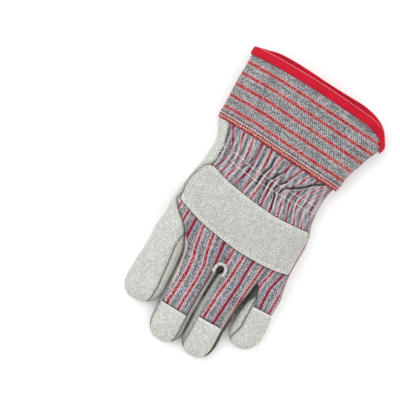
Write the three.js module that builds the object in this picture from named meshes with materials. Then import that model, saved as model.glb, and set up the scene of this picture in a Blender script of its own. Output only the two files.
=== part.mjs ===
// A left-hand work glove that lies on its palm: leather palm, fingertips and
// knuckle strap, a striped cloth back gathered at the wrist, a wing thumb folded
// flat under the palm, and a flared cuff with a bound edge.
// Millimetres. +X points to the index finger's side, +Y to the fingertips, +Z up.
import * as THREE from "three";

const { clamp, lerp, smoothstep } = THREE.MathUtils;

// Walls and gaps
const LEATHER = 1.2;
const CLOTH = 1.0;
const CUFF_WALL = 1.6;
const SETBACK = 0.22;
const LAYER_GAP = 0.42;

// The whole glove is drawn about a point of the hand, then moved to the middle of its footprint
const MIDDLE = { x: 0.55, y: 1.65 };

// Fingers, from the little finger to the index finger. The tip is a dome from domeY to tipY.
// seamLeft and seamRight are where the back piece ends, as shares of the finger's half width.
const FINGERS = [
  {
    name: "little",
    tipRowY: 73,
    domeY: 93,
    tipY: 110.5,
    tipX: -47,
    seamLeft: 1,
    seamRight: 0.5,
    rows: [
      { y: 48, left: -58.5, right: -35.2, base: 7, top: 32 },
      { y: 56, left: -60.3, right: -36.1, base: 4.5, top: 28 },
      { y: 70, left: -60.2, right: -35.6, base: 1.5, top: 23 },
      { y: 82, left: -62.2, right: -34.7, base: -0.6, top: 19.5 },
      { y: 93, left: -63, right: -34, base: -1, top: 17.5 },
    ],
  },
  {
    name: "ring",
    tipRowY: 104.5,
    domeY: 120,
    tipY: 138,
    tipX: -15,
    seamLeft: 0.9,
    seamRight: 0.74,
    rows: [
      { y: 48, left: -34.6, right: 0.4, base: 9, top: 34 },
      { y: 58, left: -33.4, right: -1.6, base: 5.5, top: 30 },
      { y: 72, left: -32, right: -0.4, base: 2, top: 25 },
      { y: 86, left: -31, right: 0, base: -0.6, top: 21 },
      { y: 104, left: -30, right: 0, base: -1, top: 18.5 },
      { y: 120, left: -30.5, right: 0, base: -1, top: 17 },
    ],
  },
  {
    name: "middle",
    tipRowY: 108.5,
    domeY: 122,
    tipY: 140,
    tipX: 17,
    seamLeft: 0.8,
    seamRight: 0.94,
    rows: [
      { y: 48, left: 0.6, right: 43.2, base: 10, top: 34 },
      { y: 58, left: 3, right: 37.5, base: 6.5, top: 30.5 },
      { y: 72, left: 2.1, right: 35.3, base: 2.5, top: 25.5 },
      { y: 86, left: 2.2, right: 34.6, base: -0.6, top: 21.5 },
      { y: 104, left: 2.5, right: 34, base: -1, top: 19 },
      { y: 122, left: 1.5, right: 33, base: -1, top: 17.5 },
    ],
  },
  {
    name: "index",
    tipRowY: 100,
    domeY: 100,
    tipY: 119,
    tipX: 55,
    seamLeft: 0.5,
    seamRight: 1,
    rows: [
      { y: 14, left: 45, right: 68.5, base: 16, top: 37 },
      { y: 36, left: 44.3, right: 69.5, base: 13, top: 34 },
      { y: 48, left: 43.5, right: 70, base: 10.5, top: 32 },
      { y: 58, left: 39.8, right: 70, base: 7, top: 29 },
      { y: 72, left: 37.6, right: 70.2, base: 3, top: 25 },
      { y: 86, left: 36.2, right: 70.8, base: -0.6, top: 21.5 },
      { y: 100, left: 35.2, right: 71.5, base: -1, top: 19 },
    ],
  },
];
const DOME_POWER = 0.8;
const FINGER_POWER = 2.3;
const HAND_POWER = 2.4;

// A finger's own section takes over from the hand's between these rows; past a crotch,
// rowLength along the finger counts as one row. Its side seams open between the next two.
const FINGER_BLEND = { from: 1.25, to: 2.75, rowLength: 24 };
const SIDE_SEAM = { from: 2, to: 2.6 };

// The hand's own section is the same from here on towards the fingertips
const HAND_END = 56;

// Height of the fingers' side line above the floor
const SIDE_LINE = [
  { y: 8, z: 20 },
  { y: 30, z: 18.5 },
  { y: 50, z: 16.5 },
  { y: 64, z: 13 },
  { y: 80, z: 9.5 },
  { y: 100, z: 7.5 },
  { y: 140, z: 6.5 },
];

// The hand: x0 to x4 are the outer edges and the three lines that run up to the finger
// crotches, lowEdge and highEdge the heights of the two outer edges, crown the arch of the back
const HAND = [
  { y: -61, x0: -55, x1: -24, x2: 7, x3: 36.5, x4: 70.5, lowEdge: 12, highEdge: 14, crown: 20 },
  { y: -52, x0: -50.5, x1: -22.5, x2: 7, x3: 37.5, x4: 66, lowEdge: 11, highEdge: 15, crown: 19 },
  { y: -42, x0: -49, x1: -21.5, x2: 6.5, x3: 39, x4: 62.3, lowEdge: 10, highEdge: 16.5, crown: 19 },
  { y: -31, x0: -49, x1: -21, x2: 6, x3: 40, x4: 62, lowEdge: 9.5, highEdge: 17.5, crown: 19.5 },
  { y: -18, x0: -50.5, x1: -22.5, x2: 5, x3: 41.5, x4: 63.3, lowEdge: 9, highEdge: 18.5, crown: 24 },
  { y: 0, x0: -55.5, x1: -27, x2: 3.5, x3: 44, x4: 67, lowEdge: 9, highEdge: 19.5, crown: 27 },
  { y: 14, x0: -55.9, x1: -30, x2: 2.5, x3: 45, x4: 68.5, lowEdge: 10, highEdge: 19.5, crown: 27 },
  { y: 32, x0: -56, x1: -33, x2: 1.5, x3: 44.6, x4: 69, lowEdge: 12.5, highEdge: 18.5, crown: 24 },
  { y: 48, x0: -58.5, x1: -34.8, x2: 0.7, x3: 43.5, x4: 70, lowEdge: 15.5, highEdge: 16.5, crown: 19 },
  { y: 56, x0: -60.3, x1: -35, x2: 0.5, x3: 42, x4: 70, lowEdge: 15, highEdge: 15, crown: 17 },
];

// Rows across the hand, each given by how far along the hand it meets x0 to x4
const CUFF_ROW = [-54.5, -56, -58, -60.2, -60.4];
const THUMB_ROW = [8, 11, 12, 11.5, 8];
const CROTCH_ROW = [49, 53, 55, 47.5, 18];
const WRIST_STEPS = 10;
const KNUCKLE_STEPS = 6;
const BACK_COLUMNS = 8;
const EDGE_CROWDING = 1.35;
const PALM_COLUMNS = 4;

// How far under a finger its side strips reach, as a step round its section
const FORK_REACH = 0.6;

// Where the leather wrap at the index edge begins on the back, as a share of the last strip
const WRAP = [
  { v: 0, share: 0.36 },
  { v: 0.55, share: 0.18 },
  { v: 1, share: 0.6 },
  { v: 2, share: 0.8 },
];
const WRAP_COLUMNS = 2;
const WRAP_CROWDING = 1.5;

// Gathers of the cloth by the wrist elastic, two to each strip
const GATHER = [
  { y: -61, depth: 0.5 },
  { y: -46, depth: 1.2 },
  { y: -31, depth: 1.5 },
  { y: -16, depth: 0.8 },
  { y: -2, depth: 0 },
  { y: 60, depth: 0 },
];

// Deep folds of the gathered cloth between elastic and cuff
const FOLDS = [
  { fromX: -25, fromY: -40, toX: -42, toY: -52, depth: 3, width: 4.5 },
  { fromX: -9, fromY: -36, toX: -20, toY: -46, depth: 2.6, width: 4.5 },
  { fromX: 9, fromY: -36, toX: 8, toY: -50, depth: 2, width: 4 },
];

// The thumb lies under the palm and lifts it: the middle lines of its pocket, and its reach
const THUMB_LINES = [
  { fromX: 48, fromY: -38, toX: 0, toY: 1 },
  { fromX: 44, fromY: -7, toX: 0, toY: 1 },
];
const THUMB_REACH = 24;
const THUMB_SLOPE = { sideways: 16, towardsFingers: 38, fromY: 6, toY: 30 };
const PALM_LIFT = 18.6;
const LIFT_AT_CUFF = { share: 0.45, fromY: -62, toY: -36 };
const THUMB_EDGE = 0.45;

// The thumb's outline: its upper and lower edges from the tip (s = 0) to the index edge (s = 1)
const THUMB = [
  { s: 0, upperX: -19.5, upperY: 13, lowerX: -19.5, lowerY: 13 },
  { s: 0.05, upperX: -14, upperY: 18.5, lowerX: -22, lowerY: 5 },
  { s: 0.12, upperX: -6, upperY: 24, lowerX: -21.5, lowerY: -5 },
  { s: 0.22, upperX: 1.5, upperY: 26.5, lowerX: -18, lowerY: -15 },
  { s: 0.32, upperX: 9, upperY: 24, lowerX: -12, lowerY: -21.5 },
  { s: 0.42, upperX: 17, upperY: 18.5, lowerX: -3, lowerY: -26 },
  { s: 0.52, upperX: 26, upperY: 14, lowerX: 6.5, lowerY: -32 },
  { s: 0.62, upperX: 35, upperY: 13, lowerX: 17, lowerY: -41 },
  { s: 0.72, upperX: 45, upperY: 11.5, lowerX: 28, lowerY: -54 },
  { s: 1, upperX: 68, upperY: 8, lowerX: 37, lowerY: -60.2 },
];
const THUMB_JOIN = 0.72;
const THUMB_DOME = 0.22;
const THUMB_POWER = 2.2;
const THUMB_COLUMNS = 10;
const THUMB_ROWS = [0, 0.015, 0.05, 0.11, 0.2, 0.3, 0.4, 0.5, 0.6, THUMB_JOIN];
const THUMB_BASE_ROWS = [0.79, 0.86, 0.92, 0.965, 1];
// Past its seam the thumb's front turns the corner from the index edge to the cuff at this
// share, and ends at this X; it sags this far before the floor flattens it
const THUMB_CORNER = { share: 0.68, cuffX: 37 };
const THUMB_SAG = 0.8;
// The thumb's back lies this far under the palm, and its pocket is at least so high
const POCKET = { clearance: 0.9, least: 4 };

// The knuckle strap's two long edges
const STRAP = [
  { x: -55, low: -10.5, high: 31.5 },
  { x: -40, low: -9, high: 34.7 },
  { x: -20, low: -7.7, high: 35.7 },
  { x: 0, low: -9, high: 35 },
  { x: 20, low: -11.6, high: 32.3 },
  { x: 40, low: -15.6, high: 28.3 },
  { x: 56, low: -20, high: 23 },
  { x: 60.5, low: -16, high: 21.3 },
  { x: 65, low: -4, high: 17 },
];
const STRAP_ENDS = { left: -54.4, right: 64.6 };
const STRAP_COLUMNS = 30;
const STRAP_ROWS = 6;
const STRAP_LIFT = LEATHER + 0.8;

// The cuff, from the hand's seam to its edge; outline of the flattened tube
const CUFF = [
  { y: -54, left: -54, right: 70.3, top: 33, side: 13 },
  { y: -66, left: -56.3, right: 71, top: 35, side: 14 },
  { y: -80, left: -59.8, right: 72, top: 36.5, side: 14.5 },
  { y: -94, left: -65, right: 72.8, top: 38, side: 15 },
  { y: -104, left: -70, right: 72.5, top: 38.5, side: 15.5 },
  { y: -112, left: -71.8, right: 72.6, top: 39, side: 15.5 },
  { y: -138, left: -72.3, right: 72.8, top: 40, side: 16 },
];
const CUFF_EDGE = [
  { share: -1, y: -110 },
  { share: -0.92, y: -119 },
  { share: -0.75, y: -125.5 },
  { share: -0.4, y: -128.5 },
  { share: 0, y: -131 },
  { share: 0.5, y: -132.5 },
  { share: 1, y: -133.5 },
];
const PALM_SIDE_LONGER = 3;
const CUFF_GAP = 1.3 * LAYER_GAP;
const CUFF_POWER = 2.3;
const CUFF_STEPS = 7;
const CUFF_SIDES = 40;
const BINDING_WIDTH = 7.5;
const BINDING_WALL = 1.1;
// The fold starts to turn and ends this far past the cuff's edge
const BINDING_FOLD = { start: 0.4, end: 1.5 };

// Rolled welts: how far along the hand each passes, given across it
const CROTCH_WELT = [
  { x: -5, y: 60 },
  { x: -3.6, y: 55 },
  { x: 0.5, y: 52 },
  { x: 4.4, y: 55 },
  { x: 6, y: 60 },
];
const PALM_WELT = [
  { x: -33, y: 48.5 },
  { x: -26, y: 44.5 },
  { x: -15, y: 43 },
  { x: -5, y: 44 },
  { x: 1, y: 46.5 },
  { x: 8, y: 44 },
  { x: 20, y: 42 },
  { x: 32, y: 40.5 },
  { x: 40, y: 42 },
];
const WELT_RADIUS = 1.5;
const WELT_STEPS = 14;

const leather = { color: 0xd3d6cd, roughness: 0.95, metalness: 0 };
const stripedCloth = { color: 0x9a8a93, roughness: 0.9, metalness: 0 };
const redBinding = { color: 0xd2203a, roughness: 0.6, metalness: 0 };

// The value of a table's column at a place along it, joined by smooth curves
function read(table, column, at, key = "y") {
  const rising = table[1][key] > table[0][key];
  const last = table.length - 1;
  let i = 0;
  while (i < last - 1 && at > table[i + 1][key] === rising) i++;
  const a = table[i];
  const b = table[i + 1];
  const before = table[Math.max(i - 1, 0)];
  const after = table[Math.min(i + 2, last)];
  const span = b[key] - a[key];
  const t = clamp((at - a[key]) / span, 0, 1);
  const slopeA = ((b[column] - before[column]) / (b[key] - before[key])) * span;
  const slopeB = ((after[column] - a[column]) / (after[key] - a[key])) * span;
  const t2 = t * t;
  const t3 = t2 * t;
  return (
    (2 * t3 - 3 * t2 + 1) * a[column] +
    (t3 - 2 * t2 + t) * slopeA +
    (3 * t2 - 2 * t3) * b[column] +
    (t3 - t2) * slopeB
  );
}

// Height of a flattened oval at a share of its half width, 1 in the middle and 0 at the side
function oval(share, power) {
  return Math.pow(Math.max(1 - Math.pow(Math.min(Math.abs(share), 1), power), 0), 1 / power);
}

// Share of the half width at an even step q round a flattened oval, both from -1 to 1
function ovalShare(q, power) {
  const c = Math.sin((q * Math.PI) / 2);
  return Math.sign(c) * Math.pow(Math.abs(c), 2 / power);
}

function segmentDistance(x, y, line) {
  const dx = line.toX - line.fromX;
  const dy = line.toY - line.fromY;
  const t = clamp(((x - line.fromX) * dx + (y - line.fromY) * dy) / (dx * dx + dy * dy), 0, 1);
  return Math.hypot(x - line.fromX - t * dx, y - line.fromY - t * dy);
}

// How high the folded thumb holds the palm above the floor
function palmLift(x, y) {
  const outside = Math.min(...THUMB_LINES.map((l) => segmentDistance(x, y, l))) - THUMB_REACH;
  const { share, fromY, toY } = LIFT_AT_CUFF;
  const nearCuff = lerp(share, 1, smoothstep(y, fromY, toY));
  const ahead = smoothstep(y, THUMB_SLOPE.fromY, THUMB_SLOPE.toY);
  const slope = lerp(THUMB_SLOPE.sideways, THUMB_SLOPE.towardsFingers, ahead);
  return PALM_LIFT * nearCuff * smoothstep(slope - 2 - outside, 0, slope);
}

// Y of a row across the hand. v runs 0 at the cuff, 1 at the thumb's seam, 2 at the crotches;
// strip counts the fingers' strips, and q runs from -1 to 1 across one strip.
function rowY(v, strip, q) {
  const from = v < 1 ? CUFF_ROW : THUMB_ROW;
  const to = v < 1 ? THUMB_ROW : CROTCH_ROW;
  const t = v < 1 ? v : v - 1;
  const a = lerp(from[strip], to[strip], t);
  const b = lerp(from[strip + 1], to[strip + 1], t);
  return lerp(a, b, (q + 1) / 2);
}

function foldDepth(x, y, strip, q) {
  let depth = read(GATHER, "depth", y) * Math.cos(Math.PI * 2 * (q + 1));
  for (const fold of FOLDS) {
    const far = segmentDistance(x, y, fold) / fold.width;
    depth += fold.depth * Math.exp(-far * far);
  }
  return depth;
}

// How much of the finger's own section a place has, from none in the hand to all past the crotch
function fingerShare(v) {
  return smoothstep(v, FINGER_BLEND.from, FINGER_BLEND.to);
}

// A point of the hand or of a finger before the tip. side is 1 on the back and -1 on the palm.
function bodyPoint(strip, q, v, side) {
  const inHand = v <= 2;
  const finger = FINGERS[strip];
  const base = rowY(Math.min(v, 2), strip, q);
  const y = inHand ? base : lerp(base, finger.domeY, (v - 2) / 3);
  const beyond = inHand ? v : 2 + (y - base) / FINGER_BLEND.rowLength;
  const blend = fingerShare(beyond);
  const share = lerp(q, ovalShare(q, FINGER_POWER), blend);
  const left = inHand ? read(HAND, "x" + strip, y) : read(finger.rows, "left", y);
  const right = inHand ? read(HAND, "x" + (strip + 1), y) : read(finger.rows, "right", y);
  const x = lerp(left, right, (share + 1) / 2);
  const handY = Math.min(y, HAND_END);
  const x0 = read(HAND, "x0", handY);
  const x4 = read(HAND, "x4", handY);
  const across = clamp((2 * (x - x0)) / (x4 - x0) - 1, -1, 1);
  const edge = lerp(
    read(HAND, "lowEdge", handY),
    read(HAND, "highEdge", handY),
    (across + 1) / 2,
  );
  const sideLine = read(SIDE_LINE, "z", y);
  const arch = oval(across, HAND_POWER);
  const round = oval(share, FINGER_POWER);
  if (side > 0) {
    const hand = edge + read(HAND, "crown", handY) * arch - foldDepth(x, y, strip, q) * arch;
    const digit = sideLine + (read(finger.rows, "top", y) - sideLine) * round;
    return new THREE.Vector3(x, y, lerp(hand, digit, blend));
  }
  const lift = palmLift(x, y);
  const hand = lift + Math.max(edge - lift, 0) * (1 - arch);
  const digit = sideLine + (read(finger.rows, "base", y) - sideLine) * round;
  return new THREE.Vector3(x, y, Math.max(lerp(hand, digit, blend), 0));
}

// A point of a fingertip's dome, t from 0 at its start to 1 at the tip
function domePoint(strip, q, t, side) {
  const finger = FINGERS[strip];
  const angle = (t * Math.PI) / 2;
  const narrow = t === 1 ? 0 : Math.pow(Math.cos(angle), DOME_POWER);
  const start = finger.rows[finger.rows.length - 1];
  const y = lerp(finger.domeY, finger.tipY, Math.sin(angle));
  const middle = lerp((start.left + start.right) / 2, finger.tipX, Math.sin(angle));
  const share = ovalShare(q, FINGER_POWER);
  const x = middle + ((start.right - start.left) / 2) * narrow * share;
  const sideLine = read(SIDE_LINE, "z", y);
  const reach = (side > 0 ? start.top : start.base) - sideLine;
  const z = sideLine + reach * narrow * oval(share, FINGER_POWER);
  return new THREE.Vector3(x, y, Math.max(z, 0));
}

// A surface of four-sided faces that share their corners, each face with its piece's name
class Skin {
  constructor() {
    this.points = [];
    this.found = new Map();
    this.faces = [];
    this.level = [];
  }

  corner(point) {
    const key = [point.x, point.y, point.z].map((n) => Math.round(n * 1000)).join();
    if (!this.found.has(key)) {
      this.found.set(key, this.points.length);
      this.points.push(point);
    }
    return this.found.get(key);
  }

  // Corners run anticlockwise seen from outside
  face(piece, ...corners) {
    const ids = corners.map((p) => this.corner(p)).filter((id, i, all) => all.indexOf(id) === i);
    if (ids.length >= 3) this.faces.push({ piece, ids });
  }

  triangles(faces) {
    return faces.flatMap(({ ids }) =>
      ids.length === 3 ? [ids] : [[ids[0], ids[1], ids[2]], [ids[0], ids[2], ids[3]]],
    );
  }

  normals() {
    const sums = this.points.map(() => new THREE.Vector3());
    for (const [a, b, c] of this.triangles(this.faces)) {
      const ab = this.points[b].clone().sub(this.points[a]);
      const ac = this.points[c].clone().sub(this.points[a]);
      const cross = ab.cross(ac);
      for (const id of [a, b, c]) sums[id].add(cross);
    }
    for (const point of this.level) sums[this.corner(point)].setZ(0);
    return sums.map((n) => n.normalize());
  }

  // The faces of one piece given a thickness inwards, its edge drawn back by the setback
  shell(piece, wall, setback = SETBACK, outwards = 0) {
    const faces = this.faces.filter((face) => face.piece === piece);
    const normals = this.normals();
    const triangles = this.triangles(faces);
    const used = new Map();
    const half = new Set();
    for (const triangle of triangles) {
      triangle.forEach((id, i) => {
        if (!used.has(id)) used.set(id, used.size);
        half.add(id + ">" + triangle[(i + 1) % 3]);
      });
    }
    const rim = [];
    const inward = new Map();
    for (const triangle of triangles) {
      triangle.forEach((id, i) => {
        const next = triangle[(i + 1) % 3];
        if (half.has(next + ">" + id)) return;
        rim.push([id, next]);
        const along = this.points[next].clone().sub(this.points[id]).normalize();
        const across = this.points[triangle[(i + 2) % 3]].clone().sub(this.points[id]);
        across.addScaledVector(along, -across.dot(along)).normalize();
        for (const end of [id, next]) inward.set(end, [...(inward.get(end) || []), across]);
      });
    }
    const count = used.size;
    const position = new Float32Array(count * 6);
    for (const [id, i] of used) {
      const outer = this.points[id].clone().addScaledVector(normals[id], outwards);
      if (inward.has(id)) {
        const [first, second] = inward.get(id);
        const mitre = setback / Math.max(1 + first.dot(second), 0.4);
        outer.addScaledVector(first, mitre).addScaledVector(second, mitre);
      }
      const inner = outer.clone().addScaledVector(normals[id], -wall);
      outer.toArray(position, i * 3);
      inner.toArray(position, (count + i) * 3);
    }
    const index = [];
    for (const triangle of triangles) {
      const [a, b, c] = triangle.map((id) => used.get(id));
      index.push(a, b, c, count + a, count + c, count + b);
    }
    for (const [from, to] of rim) {
      const a = used.get(from);
      const b = used.get(to);
      if (from < to) index.push(a, count + a, count + b, a, count + b, b);
      else index.push(a, count + a, b, b, count + a, count + b);
    }
    return new THREE.BufferGeometry()
      .setAttribute("position", new THREE.BufferAttribute(position, 3))
      .setIndex(index);
  }
}

// Faces between two neighbouring lines of points; the second lies on the left of the first
function band(skin, pieceAt, first, second) {
  for (let k = 0; k + 1 < first.length; k++) {
    const piece = pieceAt(k);
    if (piece) skin.face(piece, first[k], first[k + 1], second[k + 1], second[k]);
  }
}

const steps = (count) => Array.from({ length: count + 1 }, (_, k) => k / count);

// Even columns across the back of one strip in the hand; the last ones are the leather wrap
function handColumns(strip, v) {
  if (strip === 0) return steps(BACK_COLUMNS).map((t) => 2 * Math.pow(t, EDGE_CROWDING) - 1);
  if (strip < 3) return steps(BACK_COLUMNS).map((t) => 2 * t - 1);
  const wrap = read(WRAP, "share", v, "v");
  const cloth = steps(BACK_COLUMNS - WRAP_COLUMNS).map((t) => lerp(-1, wrap, t));
  const leatherWrap = steps(WRAP_COLUMNS).map((t) => lerp(wrap, 1, 1 - Math.pow(1 - t, WRAP_CROWDING)));
  return [...cloth, ...leatherWrap.slice(1)];
}

// Rows along a finger: v runs from 2 at the crotch to 5 at the start of the dome
function fingerRows(strip) {
  const finger = FINGERS[strip];
  const first = CROTCH_ROW[strip + (strip === 3 ? 0 : 1)];
  const tip = clamp((finger.tipRowY - first) / (finger.domeY - first), 0, 1);
  const before = steps(5).map((t) => ({ v: 2 + 3 * t * tip, dome: 0 }));
  const between = tip < 1 ? steps(2).slice(1).map((t) => ({ v: 2 + 3 * lerp(tip, 1, t), dome: 0 })) : [];
  const dome = steps(4).slice(1).map((t) => ({ v: 5, dome: t }));
  return { rows: [...before, ...between, ...dome], tipRow: 5, sideEnd: 5 + between.length };
}

function fingerPoint(strip, q, row, side) {
  return row.dome > 0 ? domePoint(strip, q, row.dome, side) : bodyPoint(strip, q, row.v, side);
}

const GAP_NAMES = ["fourchette_little_ring", "fourchette_ring_middle", "fourchette_middle_index"];
const palmSide = (strip) => (strip === 1 || strip === 2 ? "middle_ring_palm" : "palm");

function addHand(skin) {
  const rows = [
    ...steps(WRIST_STEPS),
    ...steps(KNUCKLE_STEPS).slice(1).map((t) => 1 + t),
  ];
  for (let strip = 0; strip < 4; strip++) {
    const backRows = rows.map((v) => handColumns(strip, v).map((q) => bodyPoint(strip, q, v, 1)));
    const palmQ = palmColumns();
    const palmRows = rows.map((v) => palmQ.map((q) => bodyPoint(strip, q, v, -1)));
    // The wrap and the thumb's front meet edge to edge, so both walls run level there
    if (strip === 3) skin.level.push(...backRows.slice(0, WRIST_STEPS).map((row) => row.at(-1)));
    for (let r = 0; r + 1 < rows.length; r++) {
      const clothColumns = strip === 3 ? BACK_COLUMNS - WRAP_COLUMNS : BACK_COLUMNS;
      band(skin, (k) => (k < clothColumns ? "back_cloth" : "palm"), backRows[r], backRows[r + 1]);
      if (strip === 3 && r < WRIST_STEPS) continue;
      const piece = r + 2 === rows.length ? palmSide(strip) : "palm";
      band(skin, () => piece, palmRows[r + 1], palmRows[r]);
    }
  }
}

// Columns across the palm side: the outer ones belong to the side strips between fingers
function palmColumns() {
  const between = steps(PALM_COLUMNS).map((t) => lerp(-FORK_REACH, FORK_REACH, t));
  return [-1, ...between, 1];
}

function addFinger(skin, strip) {
  const finger = FINGERS[strip];
  const { rows, tipRow, sideEnd } = fingerRows(strip);
  const seamAt = (seam, v) => lerp(1, seam, smoothstep(v, SIDE_SEAM.from, SIDE_SEAM.to));
  const seamQ = (share) => (2 / Math.PI) * Math.asin(Math.pow(share, FINGER_POWER / 2));
  const lines = rows.map((row) => {
    const left = -seamAt(seamQ(finger.seamLeft), row.v);
    const right = seamAt(seamQ(finger.seamRight), row.v);
    const back = steps(BACK_COLUMNS).map((t) => lerp(left, right, t));
    if (row === rows[0]) back.splice(0, back.length, ...handColumns(strip, 2));
    const at = (list, side) => list.map((q) => fingerPoint(strip, q, row, side));
    const palm = at(palmColumns(), -1);
    const last = palm.length - 1;
    return {
      back: at(back, 1),
      palm: palm.slice(1, last),
      right: [...at([right, lerp(right, 1, 0.5), 1], 1), palm[last], palm[last - 1]],
      left: [palm[1], palm[0], ...at([-1, lerp(left, -1, 0.5), left], 1)],
    };
  });
  const backPiece = (r) => (strip === 3 ? "palm" : r < tipRow ? "back_cloth" : "tip_" + finger.name);
  for (let r = 0; r + 1 < rows.length; r++) {
    const here = lines[r];
    const next = lines[r + 1];
    const sidePiece = (gap) => (GAP_NAMES[gap] && r < sideEnd ? GAP_NAMES[gap] : palmSide(strip));
    band(skin, () => backPiece(r), here.back, next.back);
    band(skin, () => palmSide(strip), next.palm, here.palm);
    band(skin, () => sidePiece(strip), here.right, next.right);
    band(skin, () => sidePiece(strip - 1), here.left, next.left);
  }
}

// A point of the thumb's outline between its upper edge (t = 0) and its lower edge (t = 1)
function thumbPlace(s, t) {
  const x = lerp(read(THUMB, "upperX", s, "s"), read(THUMB, "lowerX", s, "s"), t);
  const y = lerp(read(THUMB, "upperY", s, "s"), read(THUMB, "lowerY", s, "s"), t);
  if (s <= THUMB_JOIN) return { x, y };
  // Past the seam with the palm the front spreads to the index edge and the cuff's seam
  const far = (s - THUMB_JOIN) / (1 - THUMB_JOIN);
  const corner = THUMB_CORNER.share;
  const alongEdge = lerp(THUMB_ROW[4], CUFF_ROW[4], Math.min(t / corner, 1));
  const edgeX = read(HAND, "x4", alongEdge);
  const alongCuff = clamp((t - corner) / (1 - corner), 0, 1);
  const baseX = lerp(edgeX, THUMB_CORNER.cuffX, alongCuff);
  const join = thumbPlace(THUMB_JOIN, t);
  return { x: lerp(join.x, baseX, far), y: lerp(join.y, alongEdge, far) };
}

function thumbPoint(s, t, side) {
  const { x, y } = thumbPlace(s, t);
  const pocket = Math.max(palmLift(x, y) - POCKET.clearance, POCKET.least);
  const edge = THUMB_EDGE * pocket;
  const dome = s < THUMB_DOME ? oval(1 - s / THUMB_DOME, THUMB_POWER) : 1;
  const full = oval(2 * t - 1, THUMB_POWER) * dome;
  if (side > 0) return new THREE.Vector3(x, y, edge + (pocket - edge) * full);
  const far = clamp((s - THUMB_JOIN) / (1 - THUMB_JOIN), 0, 1);
  const rise = 1 - oval(far, THUMB_POWER);
  const rimHeight = lerp(edge, read(HAND, "highEdge", y), far > 0 ? Math.max(rise, 0) : 0);
  const bowl = Math.max(lerp(edge, -THUMB_SAG, full), 0);
  return new THREE.Vector3(x, y, far > 0 ? lerp(bowl, rimHeight, rise) : bowl);
}

function addThumb(skin) {
  const columns = steps(THUMB_COLUMNS).map((t) => (ovalShare(2 * t - 1, 2) + 1) / 2);
  const lines = (rows, side) => rows.map((s) => columns.map((t) => thumbPoint(s, t, side)));
  const back = lines(THUMB_ROWS, 1);
  const front = lines([...THUMB_ROWS, ...THUMB_BASE_ROWS], -1);
  skin.level.push(...front.at(-1));
  for (let r = 0; r + 1 < back.length; r++) band(skin, () => "thumb_back", back[r], back[r + 1]);
  for (let r = 0; r + 1 < front.length; r++) band(skin, () => "thumb_front", front[r + 1], front[r]);
}

// The place on the hand that lies at x and y, on the back or on the palm
function handPoint(x, y, side = 1) {
  const borders = [0, 1, 2, 3, 4].map((i) => read(HAND, "x" + i, Math.min(y, HAND_END)));
  const strip = clamp(borders.findIndex((b) => b > x) - 1, 0, 3);
  const q = clamp((2 * (x - borders[strip])) / (borders[strip + 1] - borders[strip]) - 1, -1, 1);
  const low = rowY(0, strip, q);
  const thumb = rowY(1, strip, q);
  const high = rowY(2, strip, q);
  const v = y < thumb ? (y - low) / (thumb - low) : 1 + (y - thumb) / (high - thumb);
  return bodyPoint(strip, q, clamp(v, 0, 2), side);
}

function addStrap(skin) {
  const { left, right } = STRAP_ENDS;
  const crowded = steps(STRAP_COLUMNS).map((t) => 0.5 - 0.5 * Math.cos(Math.PI * t));
  const along = crowded.map((t) => lerp(left, right, t));
  const across = steps(STRAP_ROWS);
  const lines = across.map((t) =>
    along.map((x) => handPoint(x, lerp(read(STRAP, "low", x, "x"), read(STRAP, "high", x, "x"), t))),
  );
  for (let r = 0; r + 1 < lines.length; r++) band(skin, () => "knuckle_strap", lines[r], lines[r + 1]);
}

// A point of the cuff's outer wall; angle 0 is the index side, a quarter turn the back
function cuffPoint(angle, t) {
  const share = Math.sign(Math.cos(angle)) * Math.pow(Math.abs(Math.cos(angle)), 2 / CUFF_POWER);
  const place = (share + 1) * 2;
  const strip = Math.min(Math.floor(place), 3);
  const start = lerp(CUFF_ROW[strip], CUFF_ROW[strip + 1], place - strip) - CUFF_GAP;
  const longer = PALM_SIDE_LONGER * Math.max(-Math.sin(angle), 0);
  const y = lerp(start, read(CUFF_EDGE, "y", share, "share") - longer, t);
  const left = read(CUFF, "left", y);
  const right = read(CUFF, "right", y);
  const x = lerp(left, right, (share + 1) / 2);
  const side = read(CUFF, "side", y);
  const rise = Math.sin(angle) > 0 ? read(CUFF, "top", y) - side : side + 1;
  const height = Math.pow(Math.abs(Math.sin(angle)), 2 / CUFF_POWER) * Math.sign(Math.sin(angle));
  return new THREE.Vector3(x, y, Math.max(side + rise * height, LAYER_GAP + BINDING_WALL));
}

const cuffAngles = steps(CUFF_SIDES).map((t) => t * Math.PI * 2);

function addCuff(skin) {
  const lines = steps(CUFF_STEPS).map((t) => cuffAngles.map((angle) => cuffPoint(angle, t)));
  for (let r = 0; r + 1 < lines.length; r++) band(skin, () => "cuff", lines[r], lines[r + 1]);
}

function cuffNormal(angle, t) {
  const step = 1e-3;
  const along = cuffPoint(angle, t + step).sub(cuffPoint(angle, t - step));
  const around = cuffPoint(angle + step, t).sub(cuffPoint(angle - step, t));
  return around.cross(along).normalize();
}

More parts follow.
